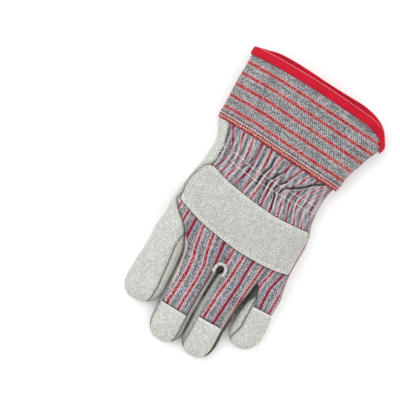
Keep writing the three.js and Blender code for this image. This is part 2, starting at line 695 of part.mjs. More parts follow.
// The binding: a folded strip round the cuff's edge, its section given by how far it reaches
// past the edge and how far off the wall's outer face it lies
function bindingGeometry() {
  const outer = LAYER_GAP + BINDING_WALL;
  const inner = -CUFF_WALL - LAYER_GAP;
  const section = [
    [-BINDING_WIDTH, LAYER_GAP],
    [-BINDING_WIDTH, outer],
    [-BINDING_WIDTH / 2, outer],
    [BINDING_FOLD.start, outer],
    [BINDING_FOLD.end, (outer + inner) / 2],
    [BINDING_FOLD.start, inner - BINDING_WALL],
    [-BINDING_WIDTH / 2, inner - BINDING_WALL],
    [-BINDING_WIDTH, inner - BINDING_WALL],
    [-BINDING_WIDTH, inner],
    [-BINDING_WIDTH / 2, inner],
    [LAYER_GAP, inner],
    [LAYER_GAP, LAYER_GAP],
    [-BINDING_WIDTH / 2, LAYER_GAP],
  ];
  const position = [];
  for (const angle of cuffAngles.slice(0, -1)) {
    const edge = cuffPoint(angle, 1);
    const length = edge.distanceTo(cuffPoint(angle, 0));
    const out = edge.clone().sub(cuffPoint(angle, 0.97)).normalize();
    for (const [along, off] of section) {
      const t = 1 + Math.min(along, 0) / length;
      const point = cuffPoint(angle, t).addScaledVector(out, Math.max(along, 0));
      point.addScaledVector(cuffNormal(angle, Math.min(t, 0.998)), off);
      position.push(point.x, point.y, point.z);
    }
  }
  const count = section.length;
  const around = cuffAngles.length - 1;
  const index = [];
  for (let r = 0; r < around; r++) {
    for (let k = 0; k < count; k++) {
      const a = r * count + k;
      const b = r * count + ((k + 1) % count);
      const c = ((r + 1) % around) * count + ((k + 1) % count);
      const d = ((r + 1) % around) * count + k;
      index.push(a, c, b, a, d, c);
    }
  }
  return new THREE.BufferGeometry()
    .setAttribute("position", new THREE.Float32BufferAttribute(position, 3))
    .setIndex(index);
}

// Welts lie on the surface, clear of it by the layer gap
function weltOnBack({ x, y }) {
  const onHand = handPoint(x, Math.min(y, CROTCH_ROW[2]));
  return onHand.setY(y).add(new THREE.Vector3(0, 0, WELT_RADIUS + LEATHER));
}

function weltOnPalm({ x, y }) {
  return handPoint(x, y, -1).sub(new THREE.Vector3(0, 0, WELT_RADIUS + 2 * LAYER_GAP));
}

// A rolled welt: a thin round bar along a smooth line through the points
function weltGeometry(points) {
  const path = new THREE.CatmullRomCurve3(points);
  const section = new THREE.Shape().absarc(0, 0, WELT_RADIUS, 0, Math.PI * 2);
  return new THREE.ExtrudeGeometry(section, { steps: WELT_STEPS, curveSegments: 4, extrudePath: path });
}

function addPiece(glove, name, geometry, look) {
  const mesh = new THREE.Mesh(geometry, new THREE.MeshStandardMaterial(look));
  mesh.name = name;
  geometry.computeVertexNormals();
  glove.add(mesh);
}

const body = new Skin();
addHand(body);
for (let strip = 0; strip < 4; strip++) addFinger(body, strip);
const thumb = new Skin();
addThumb(thumb);
const strap = new Skin();
addStrap(strap);
const cuff = new Skin();
addCuff(cuff);

const glove = new THREE.Group();
const leatherPieces = ["palm", "middle_ring_palm", "tip_little", "tip_ring", "tip_middle"];
for (const name of [...leatherPieces, ...GAP_NAMES]) {
  addPiece(glove, name, body.shell(name, LEATHER), leather);
}
addPiece(glove, "back_cloth", body.shell("back_cloth", CLOTH), stripedCloth);
addPiece(glove, "thumb_front", thumb.shell("thumb_front", LEATHER), leather);
addPiece(glove, "thumb_back", thumb.shell("thumb_back", LEATHER), leather);
addPiece(glove, "knuckle_strap", strap.shell("knuckle_strap", LEATHER, 0, STRAP_LIFT), leather);
addPiece(glove, "crotch_welt", weltGeometry(CROTCH_WELT.map(weltOnBack)), leather);
addPiece(glove, "palm_welt", weltGeometry(PALM_WELT.map(weltOnPalm)), leather);
addPiece(glove, "cuff", cuff.shell("cuff", CUFF_WALL), stripedCloth);
addPiece(glove, "cuff_binding", bindingGeometry(), redBinding);

glove.position.set(-MIDDLE.x, -MIDDLE.y, 0);

export default glove;
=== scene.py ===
import functools

import bpy
import numpy as np
from bpy.props import FloatProperty, FloatVectorProperty, PointerProperty
from mathutils import Matrix, Vector


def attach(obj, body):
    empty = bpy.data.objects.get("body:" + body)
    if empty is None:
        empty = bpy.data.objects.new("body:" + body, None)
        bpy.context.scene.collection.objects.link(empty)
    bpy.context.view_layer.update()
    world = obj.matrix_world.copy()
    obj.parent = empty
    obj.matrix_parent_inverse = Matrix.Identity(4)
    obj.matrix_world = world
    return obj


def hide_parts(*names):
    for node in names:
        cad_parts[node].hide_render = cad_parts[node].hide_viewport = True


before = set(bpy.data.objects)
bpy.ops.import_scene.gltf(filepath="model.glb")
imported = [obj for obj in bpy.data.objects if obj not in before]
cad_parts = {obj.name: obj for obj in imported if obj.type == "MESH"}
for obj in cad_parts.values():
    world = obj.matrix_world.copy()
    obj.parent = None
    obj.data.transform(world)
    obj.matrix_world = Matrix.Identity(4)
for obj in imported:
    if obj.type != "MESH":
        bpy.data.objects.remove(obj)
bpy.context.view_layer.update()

bl_info = {
    "name": "Leather Palm Work Glove",
    "version": (1, 0, 0),
    "blender": (4, 5, 0),
    "location": "3D View > Sidebar > Glove",
    "description": "A left-hand work glove of split leather and striped cloth, lying on its palm",
    "category": "Object",
}

# Every size below is in millimetres, and MM turns it to Blender's metres.
# +X points to the index finger's side, +Y to the fingertips, +Z up.
MM = 0.001
# The tables are drawn about a point of the hand; the glove's origin is the middle of its footprint
MIDDLE = np.array([0.55, 1.65, 0.0])


def table(names, *rows):
    """Named columns from rows of numbers."""
    return dict(zip(names.split(), np.array(rows, float).T))


FINGER_NAMES = ("little", "ring", "middle", "index")
# Each finger's outline and the heights of its underside and top along the hand
FINGER_ROWS = {
    "little": table(
        "y left right base top",
        (48, -58.5, -35.2, 7, 32),
        (56, -60.3, -35.4, 4.5, 28),
        (70, -60.2, -34, 1.5, 23),
        (82, -62.2, -33.9, -0.6, 19.5),
        (93, -63, -34, -1, 17.5),
    ),
    "ring": table(
        "y left right base top",
        (48, -34.6, 0.4, 9, 34),
        (58, -34, -1.2, 5.5, 30),
        (72, -32.6, 0.9, 2, 25),
        (86, -31.2, 1.3, -0.6, 21),
        (104, -30, 1.1, -1, 18.5),
        (120, -30.5, 0.4, -1, 17),
    ),
    "middle": table(
        "y left right base top",
        (48, 0.6, 43.2, 10, 34),
        (58, 3, 38, 6.5, 30.5),
        (72, 2.1, 35.9, 2.5, 25.5),
        (86, 2.3, 35, -0.6, 21.5),
        (104, 2.3, 34.1, -1, 19),
        (122, 1.4, 33, -1, 17.5),
    ),
    "index": table(
        "y left right base top",
        (14, 45, 68.5, 16, 37),
        (36, 44.3, 69.5, 13, 34),
        (48, 43.5, 70, 10.5, 32),
        (58, 39.2, 70, 7, 29),
        (72, 37, 70.2, 3, 25),
        (86, 36, 70.8, -0.6, 21.5),
        (100, 35, 71.5, -1, 19),
    ),
}
# Where each fingertip's dome starts and ends, and where its leather patch starts
FINGER_ENDS = {
    "little": dict(patch=73, dome=93, tip=110.5, tip_x=-47),
    "ring": dict(patch=104.5, dome=120, tip=138, tip_x=-15),
    "middle": dict(patch=108.5, dome=122, tip=140, tip_x=17),
    "index": dict(patch=100, dome=100, tip=119, tip_x=55),
}
# How far the back piece reaches to the left and right, as shares of the half width at the crotch and
# at the dome, and how bluntly the strip beside it starts there: 1 from a point, 0.5 round
FINGER_SEAMS = {
    "little": ((1.0, 1.0, 1.0), (0.5, 0.5, 1.0)),
    "ring": ((0.9, 0.9, 1.0), (0.74, 0.74, 0.5)),
    "middle": ((0.8, 0.8, 0.5), (0.94, 0.94, 1.0)),
    "index": ((0.52, 0.66, 1.0), (1.0, 1.0, 1.0)),
}
# The side strips reach their full width this far along the finger, of 3, and close again on the
# outline a share of the way into the dome
STRIP_OPEN = 1.2
STRIP_CLOSED = 0.72
# How square the sections are, where 2 is an ellipse, and how fast a fingertip narrows
DOME_POWER = 0.8
FINGER_POWER = 2.3
HAND_POWER = 2.4
THUMB_POWER = 2.2

# Height of the line beside a finger where its back and its underside meet
SIDE_LINE = table("y z", (8, 20), (30, 18.5), (50, 16.5), (64, 13), (80, 9.5), (100, 7.5), (140, 6.5))

# The hand: outer edges, the three lines that run up to the crotches, edge heights and arch
HAND = table(
    "y x0 x1 x2 x3 x4 low_edge high_edge crown",
    (-61, -55, -24, 7, 36.5, 70.5, 12, 14, 20),
    (-52, -50.5, -22.5, 7, 37.5, 66, 11, 15, 19),
    (-42, -49, -21.5, 6.5, 39, 62.3, 10, 16.5, 19),
    (-31, -49, -21, 6, 40, 62, 9.5, 17.5, 19.5),
    (-18, -50.5, -22.5, 5, 41.5, 63.3, 9, 18.5, 24),
    (0, -55.5, -27, 3.5, 44, 67, 9, 19.5, 27),
    (14, -55.9, -30, 2.5, 45, 68.5, 10, 19.5, 27),
    (32, -56, -33, 1.5, 44.6, 69, 12.5, 18.5, 24),
    (48, -58.5, -34.8, 0.7, 43.5, 70, 15.5, 16.5, 19),
    (56, -60.3, -35, 0.5, 42, 70, 15, 15, 17),
)
# Where the cuff's seam, the thumb's seam and the crotches cross the five lines x0 to x4
CUFF_ROW = (-54.5, -56, -58, -60.2, -60.4)
THUMB_ROW = (8, 11, 12, 11.5, 8)
CROTCH_ROW = (49, 53, 55, 47.5, 18)
# A side strip reaches under its finger to this step, of 1, from the middle
FORK_REACH = 0.6
# Where the leather round the index edge begins on the back, as a step across the last strip
WRAP = table("v share", (0, 0.36), (0.55, 0.18), (1, 0.6), (2, 0.8))

# Depths of the puckers that the wrist elastic draws, coarse and fine, along the hand
GATHER = table(
    "y coarse fine",
    (-61, 0.3, 0.3),
    (-46, 0.9, 0.8),
    (-31, 1.1, 1.1),
    (-18, 0.6, 0.6),
    (-8, 0.1, 0.1),
    (60, 0, 0),
)
# How wide a fine pucker is, and one of the finest
GATHER_PITCH = 6.1
FINEST_PITCH = 3.7
# Deep folds at the elastic: the depth of each, its half width and points along it
FOLDS = (
    (3.6, 1.0, ((8, -53), (7.3, -45), (10, -36), (11, -29), (11, -25))),
    (3.4, 0.9, ((-4, -45), (0, -38), (3, -33), (3.2, -28), (3, -24))),
    (3.4, 0.9, ((-12, -40), (-6.3, -33.7), (-5, -29), (-8.4, -24), (-10, -17), (-11.5, -12))),
    (3.6, 1.1, ((-42, -54.5), (-35, -50.5), (-26, -42), (-18, -37), (-12, -33), (-10.7, -27.5))),
    (2.6, 2.0, ((-16, -50), (-13, -44), (-9, -39))),
    (1.8, 2.0, ((-2, -52), (0, -46))),
    (2.0, 1.0, ((29, -31), (26, -37), (25, -42))),
    (1.6, 1.1, ((20, -30), (18, -40), (18, -50))),
    (2.2, 0.9, ((-37, -36), (-35.5, -27), (-38, -18), (-40, -12))),
    (1.8, 1.0, ((-22, -36), (-19.5, -27), (-23, -16))),
    (1.8, 1.0, ((-31, -44), (-27, -33), (-27, -26), (-30, -14))),
    (1.6, 1.0, ((37, -33), (36, -44), (38, -54))),
    (1.4, 1.0, ((46, -36), (48, -52))),
    (1.8, 1.0, ((3, -29), (3, -20), (2, -12))),
    (1.4, 1.0, ((16, -28), (18, -20), (20, -13))),
)
# How far beside a deep fold the painted highlight on its upturned lip lies
HIGHLIGHT_SHIFT = 1.5

# The thumb's pocket under the palm: the line along its middle, its half width and its height
THUMB_FORK = ((48, -38), (0, 1), (44, -7))
THUMB_REACH = 24
PALM_LIFT = 18.6
# The folded thumb's two edges, from its tip to the index edge of the palm
THUMB = table(
    "s upper_x upper_y lower_x lower_y",
    (0, -19.5, 13, -19.5, 13),
    (0.05, -14, 18.5, -22, 5),
    (0.12, -6, 24, -21.5, -5),
    (0.22, 1.5, 26.5, -18, -15),
    (0.32, 9, 24, -12, -21.5),
    (0.42, 17, 18.5, -3, -26),
    (0.52, 26, 14, 6.5, -32),
    (0.62, 35, 13, 17, -41),
    (0.72, 45, 11.5, 28, -54),
    (1, 68, 8, 37, -60.2),
)
# Where along it the thumb is sewn to the palm, and where its tip has reached its full height
THUMB_JOIN = 0.72
THUMB_DOME = 0.22

# The knuckle strap's two edges across the hand
STRAP = table(
    "x low high",
    (-55, -10.5, 31.5),
    (-40, -9, 34.7),
    (-20, -7.7, 35.7),
    (0, -9, 35),
    (20, -11.6, 32.3),
    (40, -15.6, 28.3),
    (56, -20, 23),
    (60.5, -16, 21.3),
    (65, -4, 17),
)
# Where the strap's end is sewn down beside the index finger
STRAP_END = ((54, -20.5), (57, -19.5), (60.5, -16), (63.5, -9), (65.6, -2), (66, 8), (65.3, 17))

# The cuff's outline, the height of its back and of its side edges
CUFF = table(
    "y left right top side",
    (-54, -54, 70.3, 33, 13),
    (-66, -56.3, 71, 35, 14),
    (-80, -59.8, 72, 36.5, 14.5),
    (-94, -65, 72.8, 38, 15),
    (-104, -70, 72.5, 38.5, 15.5),
    (-112, -71.8, 72.6, 39, 15.5),
    (-138, -72.3, 72.8, 40, 16),
)
# The cuff's edge across the hand, and how much farther the palm side reaches than the back
CUFF_EDGE = table(
    "share y longer",
    (-1, -111, 4),
    (-0.9, -120.5, 5.5),
    (-0.75, -125.6, 6.5),
    (-0.55, -127.6, 7),
    (-0.3, -129, 5.5),
    (0, -130.5, 4.7),
    (0.3, -131.3, 5.5),
    (0.7, -131.6, 6.5),
    (0.85, -131.3, 4.5),
    (1, -131, 2),
)
# How square its section is, and the height of its underside, over the binding that it lies on
CUFF_POWER = 2.3
CUFF_FLOOR = 1.52
CUFF_WALL = 1.6
CUFF_STRIPE_PITCH = 11.1

# The gap that the layers keep, and the least place of a point: nothing lies on the floor itself
LAYER_GAP = 0.42
LOWEST = np.array([-np.inf, -np.inf, 0.02])
# A distance from a seam past which nothing of it shows
FAR = 99.0

# Fineness of the surfaces: steps across a strip and along the hand and fingers
BACK_COLUMNS = 52
WRAP_COLUMNS = 12
PALM_COLUMNS = 20
FORK_COLUMNS = 8
SIDE_COLUMNS = 8
THUMB_COLUMNS = 44
THUMB_TIP_ROWS = 14
THUMB_BODY_ROWS = 60
THUMB_BASE_ROWS = 30
STRAP_COLUMNS = 170
STRAP_ROWS = 60
CUFF_COLUMNS = 260
CUFF_ROWS = 64
BINDING_COLUMNS = 300
CUFF_PATH_STEPS = 500
ELASTIC_PATH_STEPS = 400
STRAP_PATH_STEPS = 300
WRIST_ROWS = 112
KNUCKLE_ROWS = 36
PALM_SEAM_ROWS = 6
DOME_ROWS = 20
ROW_PITCH = 1.15

# The side strips between the fingers, from the little finger's side
FORKS = ("fourchette_little_ring", "fourchette_ring_middle", "fourchette_middle_index")

# Sewn seams: the groove's depth and width, the swell beside it and how far out it is highest
GROOVE = 0.9
GROOVE_WIDTH = 1.3
SWELL = 0.55
SWELL_REACH = 4.0

# The thumb's front meets the index edge up to this share of its width and the cuff's seam from
# there to this place across; its edge's height is a share of its pocket's
THUMB_CORNER = 0.68
THUMB_CUFF_END = 37
THUMB_EDGE = 0.45
# The hole at the crotch between ring and middle finger, and how far up the gaps between fingers
# painted shade reaches, as a share of the height above their deepest line
HOLE = (0.6, 57.7)
HOLE_RADIUS = 2.8
HOLE_DEPTH = 5.0
GAP_SHADE = dict(zip(FORKS, (0.3, 0.1, 0.18)))
# The painted shade in the gap between the ring and little fingers reaches from the ring finger to
# this line, and beyond it a point counts as only this share of its distance away
GAP_EDGE = table(
    "y x", (46, -32), (52, -36), (57, -39.5), (64, -38.5), (72, -35.3), (80, -33.5), (86, -30)
)
GAP_EDGE_SHADE = 0.5
# Where the ring finger's seams get no painted shade, they count as this much farther off
UNSHADED_SEAM = 2
# Pale edges of the cloth on the ring finger: the strip beside it, x, width and strength
RING_SELVAGES = (("fourchette_ring_middle", -3, 1.4, 0.6), ("fourchette_little_ring", -31, 2.2, 1.0))
# How far the strap and the fingertips' leather stand off the cloth, and where the strap's rows of
# stitches and the elastic's start and end across the hand
STRAP_LIFT = 1.35
STRAP_STITCH_INSET = 2.8
STRAP_ROW_ENDS = (-52, 63)
ELASTIC_ENDS = (-47.5, 56)
TIP_LAP = 0.5
BINDING_WIDTH = 7.0
BINDING_WALL = 1.1
WELT_HALF_WIDTH = 1.5
WELT_LIFT = 1.2
# The cuff's hem at the hand: how far it stands off, its rows of stitches, and the middle and the
# end of the red stripe that is folded into it, all from the seam
CUFF_LAP = 0.8
PALE_HEM_ROWS = (2.2, 5.0)
DARK_HEM_ROWS = (3.6, 6.5)
HEM_STRIPE = (1.2, 5.0)
CROTCH_WELT = ((-4.2, 63), (-4.3, 58), (-3, 54.2), (0.6, 52.4), (4.1, 54.2), (5.4, 58), (5.4, 63))
PALM_WELT = (
    (-33, 48.5), (-26, 44.5), (-15, 43), (-5, 44), (1, 46.5), (8, 44), (20, 42), (32, 40.5), (40, 42),
)
# How far from the hand's last row the cuff starts
CUFF_GAP = 1.3 * LAYER_GAP

# The picture: its right and upward directions, its middle on the glove, and its width
CAMERA_RIGHT = np.array([-0.866025, -0.5, 0.0])
CAMERA_UP = np.array([0.5, -0.866025, 0.0])
PICTURE_MIDDLE = (47.05 * MM, 11.25 * MM)
PICTURE_WIDTH = 360
# The camera's focal length in millimetres, long so that the glove is drawn with little perspective
CAMERA_LENS = 350
# The floor's side, the middle of the glove and the lights' places are in metres. A light's are to
# the right in the picture, up it and above the floor, and then come its size and power: in the
# picture the light comes from the upper left.
FLOOR_SIZE = 12
LIT = (0.0, 0.0, 0.02)
LIGHTS = {"key light": (-0.7, 0.9, 1.3, 2.0, 14), "fill light": (1.0, -0.3, 1.4, 1.6, 6)}
SKY_STRENGTH = 0.93

# Where the back's red stripes run: their places across the hand at some distances along it.
# Stripes are numbered from the little finger's side, so that stripe 2 at one row goes on as stripe 2.
WRIST_STRIPES = (
    (-58, (-67, -61, -55.5, -52, -45, -37, -29.5, -19, -8.2,
        3, 14.2, 24, 33.8, 43.3, 54, 63, 71)),
    (-52, (-64, -57.5, -52.5, -48.7, -42, -34.2, -26.4, -16.7, -7.2,
        3.6, 13.4, 23.2, 32.6, 41.5, 51, 59, 67)),
    (-46, (-61, -54, -48.5, -45, -37.8, -30.1, -23.8, -13.7, -5.8,
        4.1, 12.6, 22.6, 31.5, 39.5, 47, 54.5, 62)),
    (-40, (-59, -51.5, -44.8, -41, -34.1, -27.2, -20.3, -11, -3.5,
        5.6, 13.2, 22.4, 31.5, 37.6, 45.7, 53.5, 61)),
    (-34, (-57, -50, -43.2, -37.2, -31, -24.6, -16.5, -8.7, -1.1,
        6.7, 13.8, 22.7, 32.3, 38.5, 45.5, 53, 60.5)),
    (-28, (-57, -50, -43, -36, -29.8, -22.8, -15.1, -8.1, -0.7,
        7.3, 15.4, 23.7, 33.5, 40.6, 46.5, 53.5, 61)),
    (-20, (-62, -55, -47.2, -38.6, -32.1, -24.7, -17.1, -9.3, -1.2,
        8.2, 17.5, 27.1, 37.1, 44, 50.5, 57, 64)),
    (-10, (-68, -60, -51.8, -43.9, -36, -28.2, -19.6, -11.2, -1.6,
        9.3, 19, 29, 38, 46, 53, 60, 67)),
    (12, (-68, -60, -52, -44, -36, -28, -20, -11.5, -1,
        9, 19, 29, 38, 46, 53, 60, 67)),
)
KNUCKLE_STRIPES = (
    (12, (-70, -60, -51, -42, -32, -21.5, -11.5, -1, 10, 22, 33, 42, 51.5, 61, 71)),
    (33, (-70, -60, -51, -42, -32, -21.5, -11.5, -1, 10, 22, 33, 42, 51.5, 61, 71)),
    (50, (-66, -57, -46.5, -38, -30.5, -20.5, -11, -1, 8, 19, 30, 41, 51.5, 61, 71)),
    (62, (-66, -57, -47, -38, -29, -21, -10.5, -1.5, 6.3, 15, 26.5, 38, 48, 58, 68)),
    (75, (-66, -57, -48.5, -40, -28.5, -20, -9, 0.5, 6, 14.5, 25.5, 38, 48, 58, 68)),
    (104, (-66, -57, -48.5, -39, -28, -18, -8, 1.5, 6, 15.5, 27, 39, 48, 58, 68)),
)
STRIPE_PITCH = 10.3
# The last row of the hand's table, just past the crotches
HAND_END = HAND["y"][-1]
# The side of the hand starts below this share of its crown, left of this place
SIDE_STARTS = 0.5
LITTLE_SIDE = -40


def read(rows, column, at, key="y"):
    """A column's value at each place: cubic pieces whose end slopes are the chords past each row."""
    keys = rows[key]
    values = rows[column]
    at = np.asarray(at, float)
    turn = 1.0 if keys[1] > keys[0] else -1.0
    last = len(keys) - 1
    i = np.clip(np.searchsorted(turn * keys, turn * at, side="left") - 1, 0, last - 1)
    before = np.maximum(i - 1, 0)
    after = np.minimum(i + 2, last)
    span = keys[i + 1] - keys[i]
    t = np.clip((at - keys[i]) / span, 0, 1)
    slope_a = (values[i + 1] - values[before]) / (keys[i + 1] - keys[before]) * span
    slope_b = (values[after] - values[i]) / (keys[after] - keys[i]) * span
    t2 = t * t
    t3 = t2 * t
    near = (2 * t3 - 3 * t2 + 1) * values[i] + (t3 - 2 * t2 + t) * slope_a
    return near + (3 * t2 - 2 * t3) * values[i + 1] + (t3 - t2) * slope_b


def mix(a, b, t):
    """The point a share t of the way from a to b."""
    return a + (b - a) * t


def smoothstep(x, low, high):
    """0 below low, 1 above high, and an even s-curve between them."""
    t = np.clip((x - low) / (high - low), 0, 1)
    return t * t * (3 - 2 * t)


def oval(share, power):
    """Height of a flattened oval at a share of its half width: (1 - |share|^power)^(1 / power)."""
    return np.maximum(1 - np.minimum(np.abs(share), 1) ** power, 0) ** (1 / power)


def oval_share(q, power):
    """Share of the half width at an even step q round the oval: sin(q * 90 degrees)^(2 / power)."""
    c = np.sin(q * np.pi / 2)
    return np.sign(c) * np.abs(c) ** (2 / power)


def path_distance(x, y, line):
    """Distance in plan from the nearest of a line's straight pieces."""
    nearest = np.inf
    for (fx, fy), (tx, ty) in zip(line[:-1], line[1:]):
        dx, dy = tx - fx, ty - fy
        t = np.clip(((x - fx) * dx + (y - fy) * dy) / (dx * dx + dy * dy), 0, 1)
        nearest = np.minimum(nearest, np.hypot(x - fx - t * dx, y - fy - t * dy))
    return nearest


def hump(far, width):
    """A Gaussian: 1 at no distance, and 1 / e at the width."""
    return np.exp(-((far / width) ** 2))


def path_lengths(path):
    """How long a path is up to each of its points, by its straight steps."""
    return np.concatenate([[0], np.cumsum(np.linalg.norm(np.diff(path, axis=0), axis=1))])


def unit(vectors):
    """Vectors scaled to length one."""
    return vectors / np.maximum(np.linalg.norm(vectors, axis=-1, keepdims=True), 1e-12)


def palm_lift(x, y):
    """How high the folded thumb holds the palm: full over its pocket, an s-curve down beside it,
    which is 16 mm wide below the thumb and 38 mm above it, and less than half at the cuff."""
    outside = path_distance(x, y, THUMB_FORK)
    slope = mix(16, 38, smoothstep(y, 6, 30))
    near_cuff = mix(0.45, 1, smoothstep(y, -62, -36))
    share = np.clip((slope - 2 - outside + THUMB_REACH) / slope, 0, 1)
    return PALM_LIFT * near_cuff * share * share * (3 - 2 * share)


def row_y(v, strip, q):
    """Distance along the hand of row v: 0 at the cuff, 1 at the thumb's seam, 2 at the crotches."""
    rows = np.array([CUFF_ROW, THUMB_ROW, CROTCH_ROW], float)
    left = np.interp(v, (0, 1, 2), rows[:, strip])
    right = np.interp(v, (0, 1, 2), rows[:, strip + 1])
    return mix(left, right, (q + 1) / 2)


def elastic_rows(x):
    """Distances along the hand of the two rows where the elastic is sewn."""
    upper = np.interp(x, (-49, 10, 20, 35, 45, 52), (-27, -27, -28, -30, -33, -34))
    lower = np.interp(x, (-49, -10, 10, 25, 35, 52), (-34, -34, -35, -36, -39, -40))
    return upper, lower


def gather_wave(x, y):
    """The fine gathers: a cosine across the hand of their pitch, as deep as the table says, whose
    phase wavers along the hand."""
    wave = np.cos(2 * np.pi * x / GATHER_PITCH + 0.9 * np.sin(y / 7.0))
    return read(GATHER, "fine", y) * wave


def fold_depth(x, y, q):
    """Gathers: coarse, fine and finest cosines across the hand, pinched at the two rows of
    elastic. Each deep fold is a trench of Gaussian section along its line between low ridges, which
    are a wider and shallower Gaussian taken away."""
    depth = read(GATHER, "coarse", y) * np.cos(2 * np.pi * (q + 1))
    depth = depth + gather_wave(x, y)
    finest = np.cos(2 * np.pi * x / FINEST_PITCH + 1.7 * np.sin(y / 4.3) + 1.1)
    depth = depth + 0.6 * read(GATHER, "fine", y) * finest
    for row in elastic_rows(x):
        depth = depth + 0.8 * hump(y - row, 1.3)
    for deep, width, line in FOLDS:
        far = path_distance(x, y, line) / width
        depth = depth + deep * (np.exp(-far * far) - 0.35 * np.exp(-far * far / 5))
    return depth


def painted_pleat_light(x, y):
    """Painted shade in a fold's crevice and a painted highlight on the lip beside it: a share of the
    gathers' cosine in its troughs and on its crests, and Gaussians across the deep folds."""
    wave = gather_wave(x, y)
    crevice_shade, lip_highlight = 0.3 * np.maximum(wave, 0) ** 2, 0.45 * np.maximum(-wave, 0)
    for deep, width, line in FOLDS:
        strength = min(deep / 3.4, 1) / max(width, 1)
        crevice_shade = np.maximum(crevice_shade, strength * hump(path_distance(x, y, line), width))
        lip_highlight = np.maximum(lip_highlight, strength * hump(path_distance(x + HIGHLIGHT_SHIFT, y, line), 0.8 * width))
    return crevice_shade, lip_highlight * (1 - crevice_shade)


def body_point(strip, q, v, side):
    """A point of the hand, or of a finger before its tip; side is 1 on the back and -1 on the palm.
    The hand's section is one flattened oval from edge to edge. Each finger's is an oval of its
    own, and the height is mixed from the first to the second by an s-curve round the crotches, from
    a quarter of the way past the thumb's seam to 18 mm up the finger."""
    name = FINGER_NAMES[strip]
    q, v = np.broadcast_arrays(np.asarray(q, float), np.asarray(v, float))
    in_hand = v <= 2
    base = row_y(np.minimum(v, 2), strip, q)
    y = np.where(in_hand, base, mix(base, FINGER_ENDS[name]["dome"], (v - 2) / 3))
    beyond = np.where(in_hand, v, 2 + (y - base) / 24)
    blend = smoothstep(beyond, 1.25, 2.75)
    share = mix(q, oval_share(q, FINGER_POWER), blend)
    rows = FINGER_ROWS[name]
    left = np.where(in_hand, read(HAND, f"x{strip}", y), read(rows, "left", y))
    right = np.where(in_hand, read(HAND, f"x{strip + 1}", y), read(rows, "right", y))
    x = mix(left, right, (share + 1) / 2)
    hand_y = np.minimum(y, HAND_END)
    x0, x4 = read(HAND, "x0", hand_y), read(HAND, "x4", hand_y)
    across = np.clip(2 * (x - x0) / (x4 - x0) - 1, -1, 1)
    edge = mix(read(HAND, "low_edge", hand_y), read(HAND, "high_edge", hand_y), (across + 1) / 2)
    side_line = read(SIDE_LINE, "z", y)
    arch = oval(across, HAND_POWER)
    around = oval(share, FINGER_POWER)
    if side > 0:
        hand = edge + (read(HAND, "crown", hand_y) - fold_depth(x, y, q)) * arch
        digit = side_line + (read(rows, "top", y) - side_line) * around
        return np.stack([x, y, mix(hand, digit, blend)], -1)
    lift = palm_lift(x, y)
    hand = lift + np.maximum(edge - lift, 0) * (1 - arch)
    digit = side_line + (read(rows, "base", y) - side_line) * around
    return np.stack([x, y, np.maximum(mix(hand, digit, blend), 0)], -1)


def dome_point(strip, q, t, side):
    """A point of a fingertip's dome: the last section shrunk by cos^power while it moves on by sin."""
    name = FINGER_NAMES[strip]
    ends, rows = FINGER_ENDS[name], FINGER_ROWS[name]
    q, t = np.broadcast_arrays(np.asarray(q, float), np.asarray(t, float))
    angle = t * np.pi / 2
    narrow = np.where(t >= 1, 0, np.abs(np.cos(angle)) ** DOME_POWER)
    left, right = rows["left"][-1], rows["right"][-1]
    y = mix(ends["dome"], ends["tip"], np.sin(angle))
    centre = mix((left + right) / 2, ends["tip_x"], np.sin(angle))
    share = oval_share(q, FINGER_POWER)
    side_line = read(SIDE_LINE, "z", y)
    reach = rows["top" if side > 0 else "base"][-1] - side_line
    z = side_line + reach * narrow * oval(share, FINGER_POWER)
    return np.stack([centre + (right - left) / 2 * narrow * share, y, np.maximum(z, 0)], -1)


def stripe_number(points):
    """How many stripes from the little finger's side a place of the back lies: the table's rows are
    joined along the hand, and the place is read off between the two stripes beside it. Down the
    little finger's side, height counts as distance across the hand."""
    x, y, z = (points[..., i] for i in range(3))
    hand_top = read(HAND, "low_edge", y) + SIDE_STARTS * read(HAND, "crown", y)
    little_top = mix(read(SIDE_LINE, "z", y), read(FINGER_ROWS["little"], "top", y), SIDE_STARTS)
    x = x - np.maximum(mix(hand_top, little_top, smoothstep(y, 46, 58)) - z, 0) * (x < LITTLE_SIDE)
    number = np.zeros_like(x)
    for stripes, chosen in ((WRIST_STRIPES, y < 12), (KNUCKLE_STRIPES, y >= 12)):
        keys = np.array([row[0] for row in stripes], float)
        count = min(len(row[1]) for row in stripes)
        places = np.array([row[1][:count] for row in stripes], float)
        here = np.stack([np.interp(y, keys, places[:, k]) for k in range(count)], -1)
        below = np.clip(np.sum(here <= x[..., None], -1) - 1, 0, count - 2)[..., None]
        a = np.take_along_axis(here, below, -1)[..., 0]
        b = np.take_along_axis(here, below + 1, -1)[..., 0]
        number = np.where(chosen, below[..., 0] + (x - a) / (b - a), number)
    return number


def waves(points, pitch, seed, count=8):
    """Gentle unevenness between about -1 and 1: a sum of sine waves about as long as the pitch,
    each with a direction and phase drawn from the seed."""
    random = np.random.default_rng(seed)
    directions = unit(random.normal(size=(count, 3)))
    lengths = pitch * random.uniform(0.7, 1.5, count)
    phases = random.uniform(0, 2 * np.pi, count)
    return np.sin(2 * np.pi * points @ (directions / lengths[:, None]).T + phases).sum(-1) / count**0.5


def distance(points, targets):
    """Distance of each point from the nearest target: the least root of |p|^2 + |t|^2 - 2 p.t."""
    squares = (points**2).sum(-1)[:, None] + (targets**2).sum(-1) - 2 * points @ targets.T
    return np.sqrt(np.maximum(squares.min(1), 0))


def surface_normals(points, triangles):
    """At each vertex the summed cross products of its triangles' sides, scaled to length one."""
    a, b, c = (points[triangles[:, i]] for i in range(3))
    cross = np.cross(b - a, c - a)
    sums = np.zeros_like(points)
    for i in range(3):
        np.add.at(sums, triangles[:, i], cross)
    return unit(sums)


def squares(a, b, c, d):
    """Two triangles for each square, whose corners run anticlockwise seen from outside."""
    return np.concatenate([np.stack([a, b, c], -1), np.stack([a, c, d], -1)]).reshape(-1, 3)


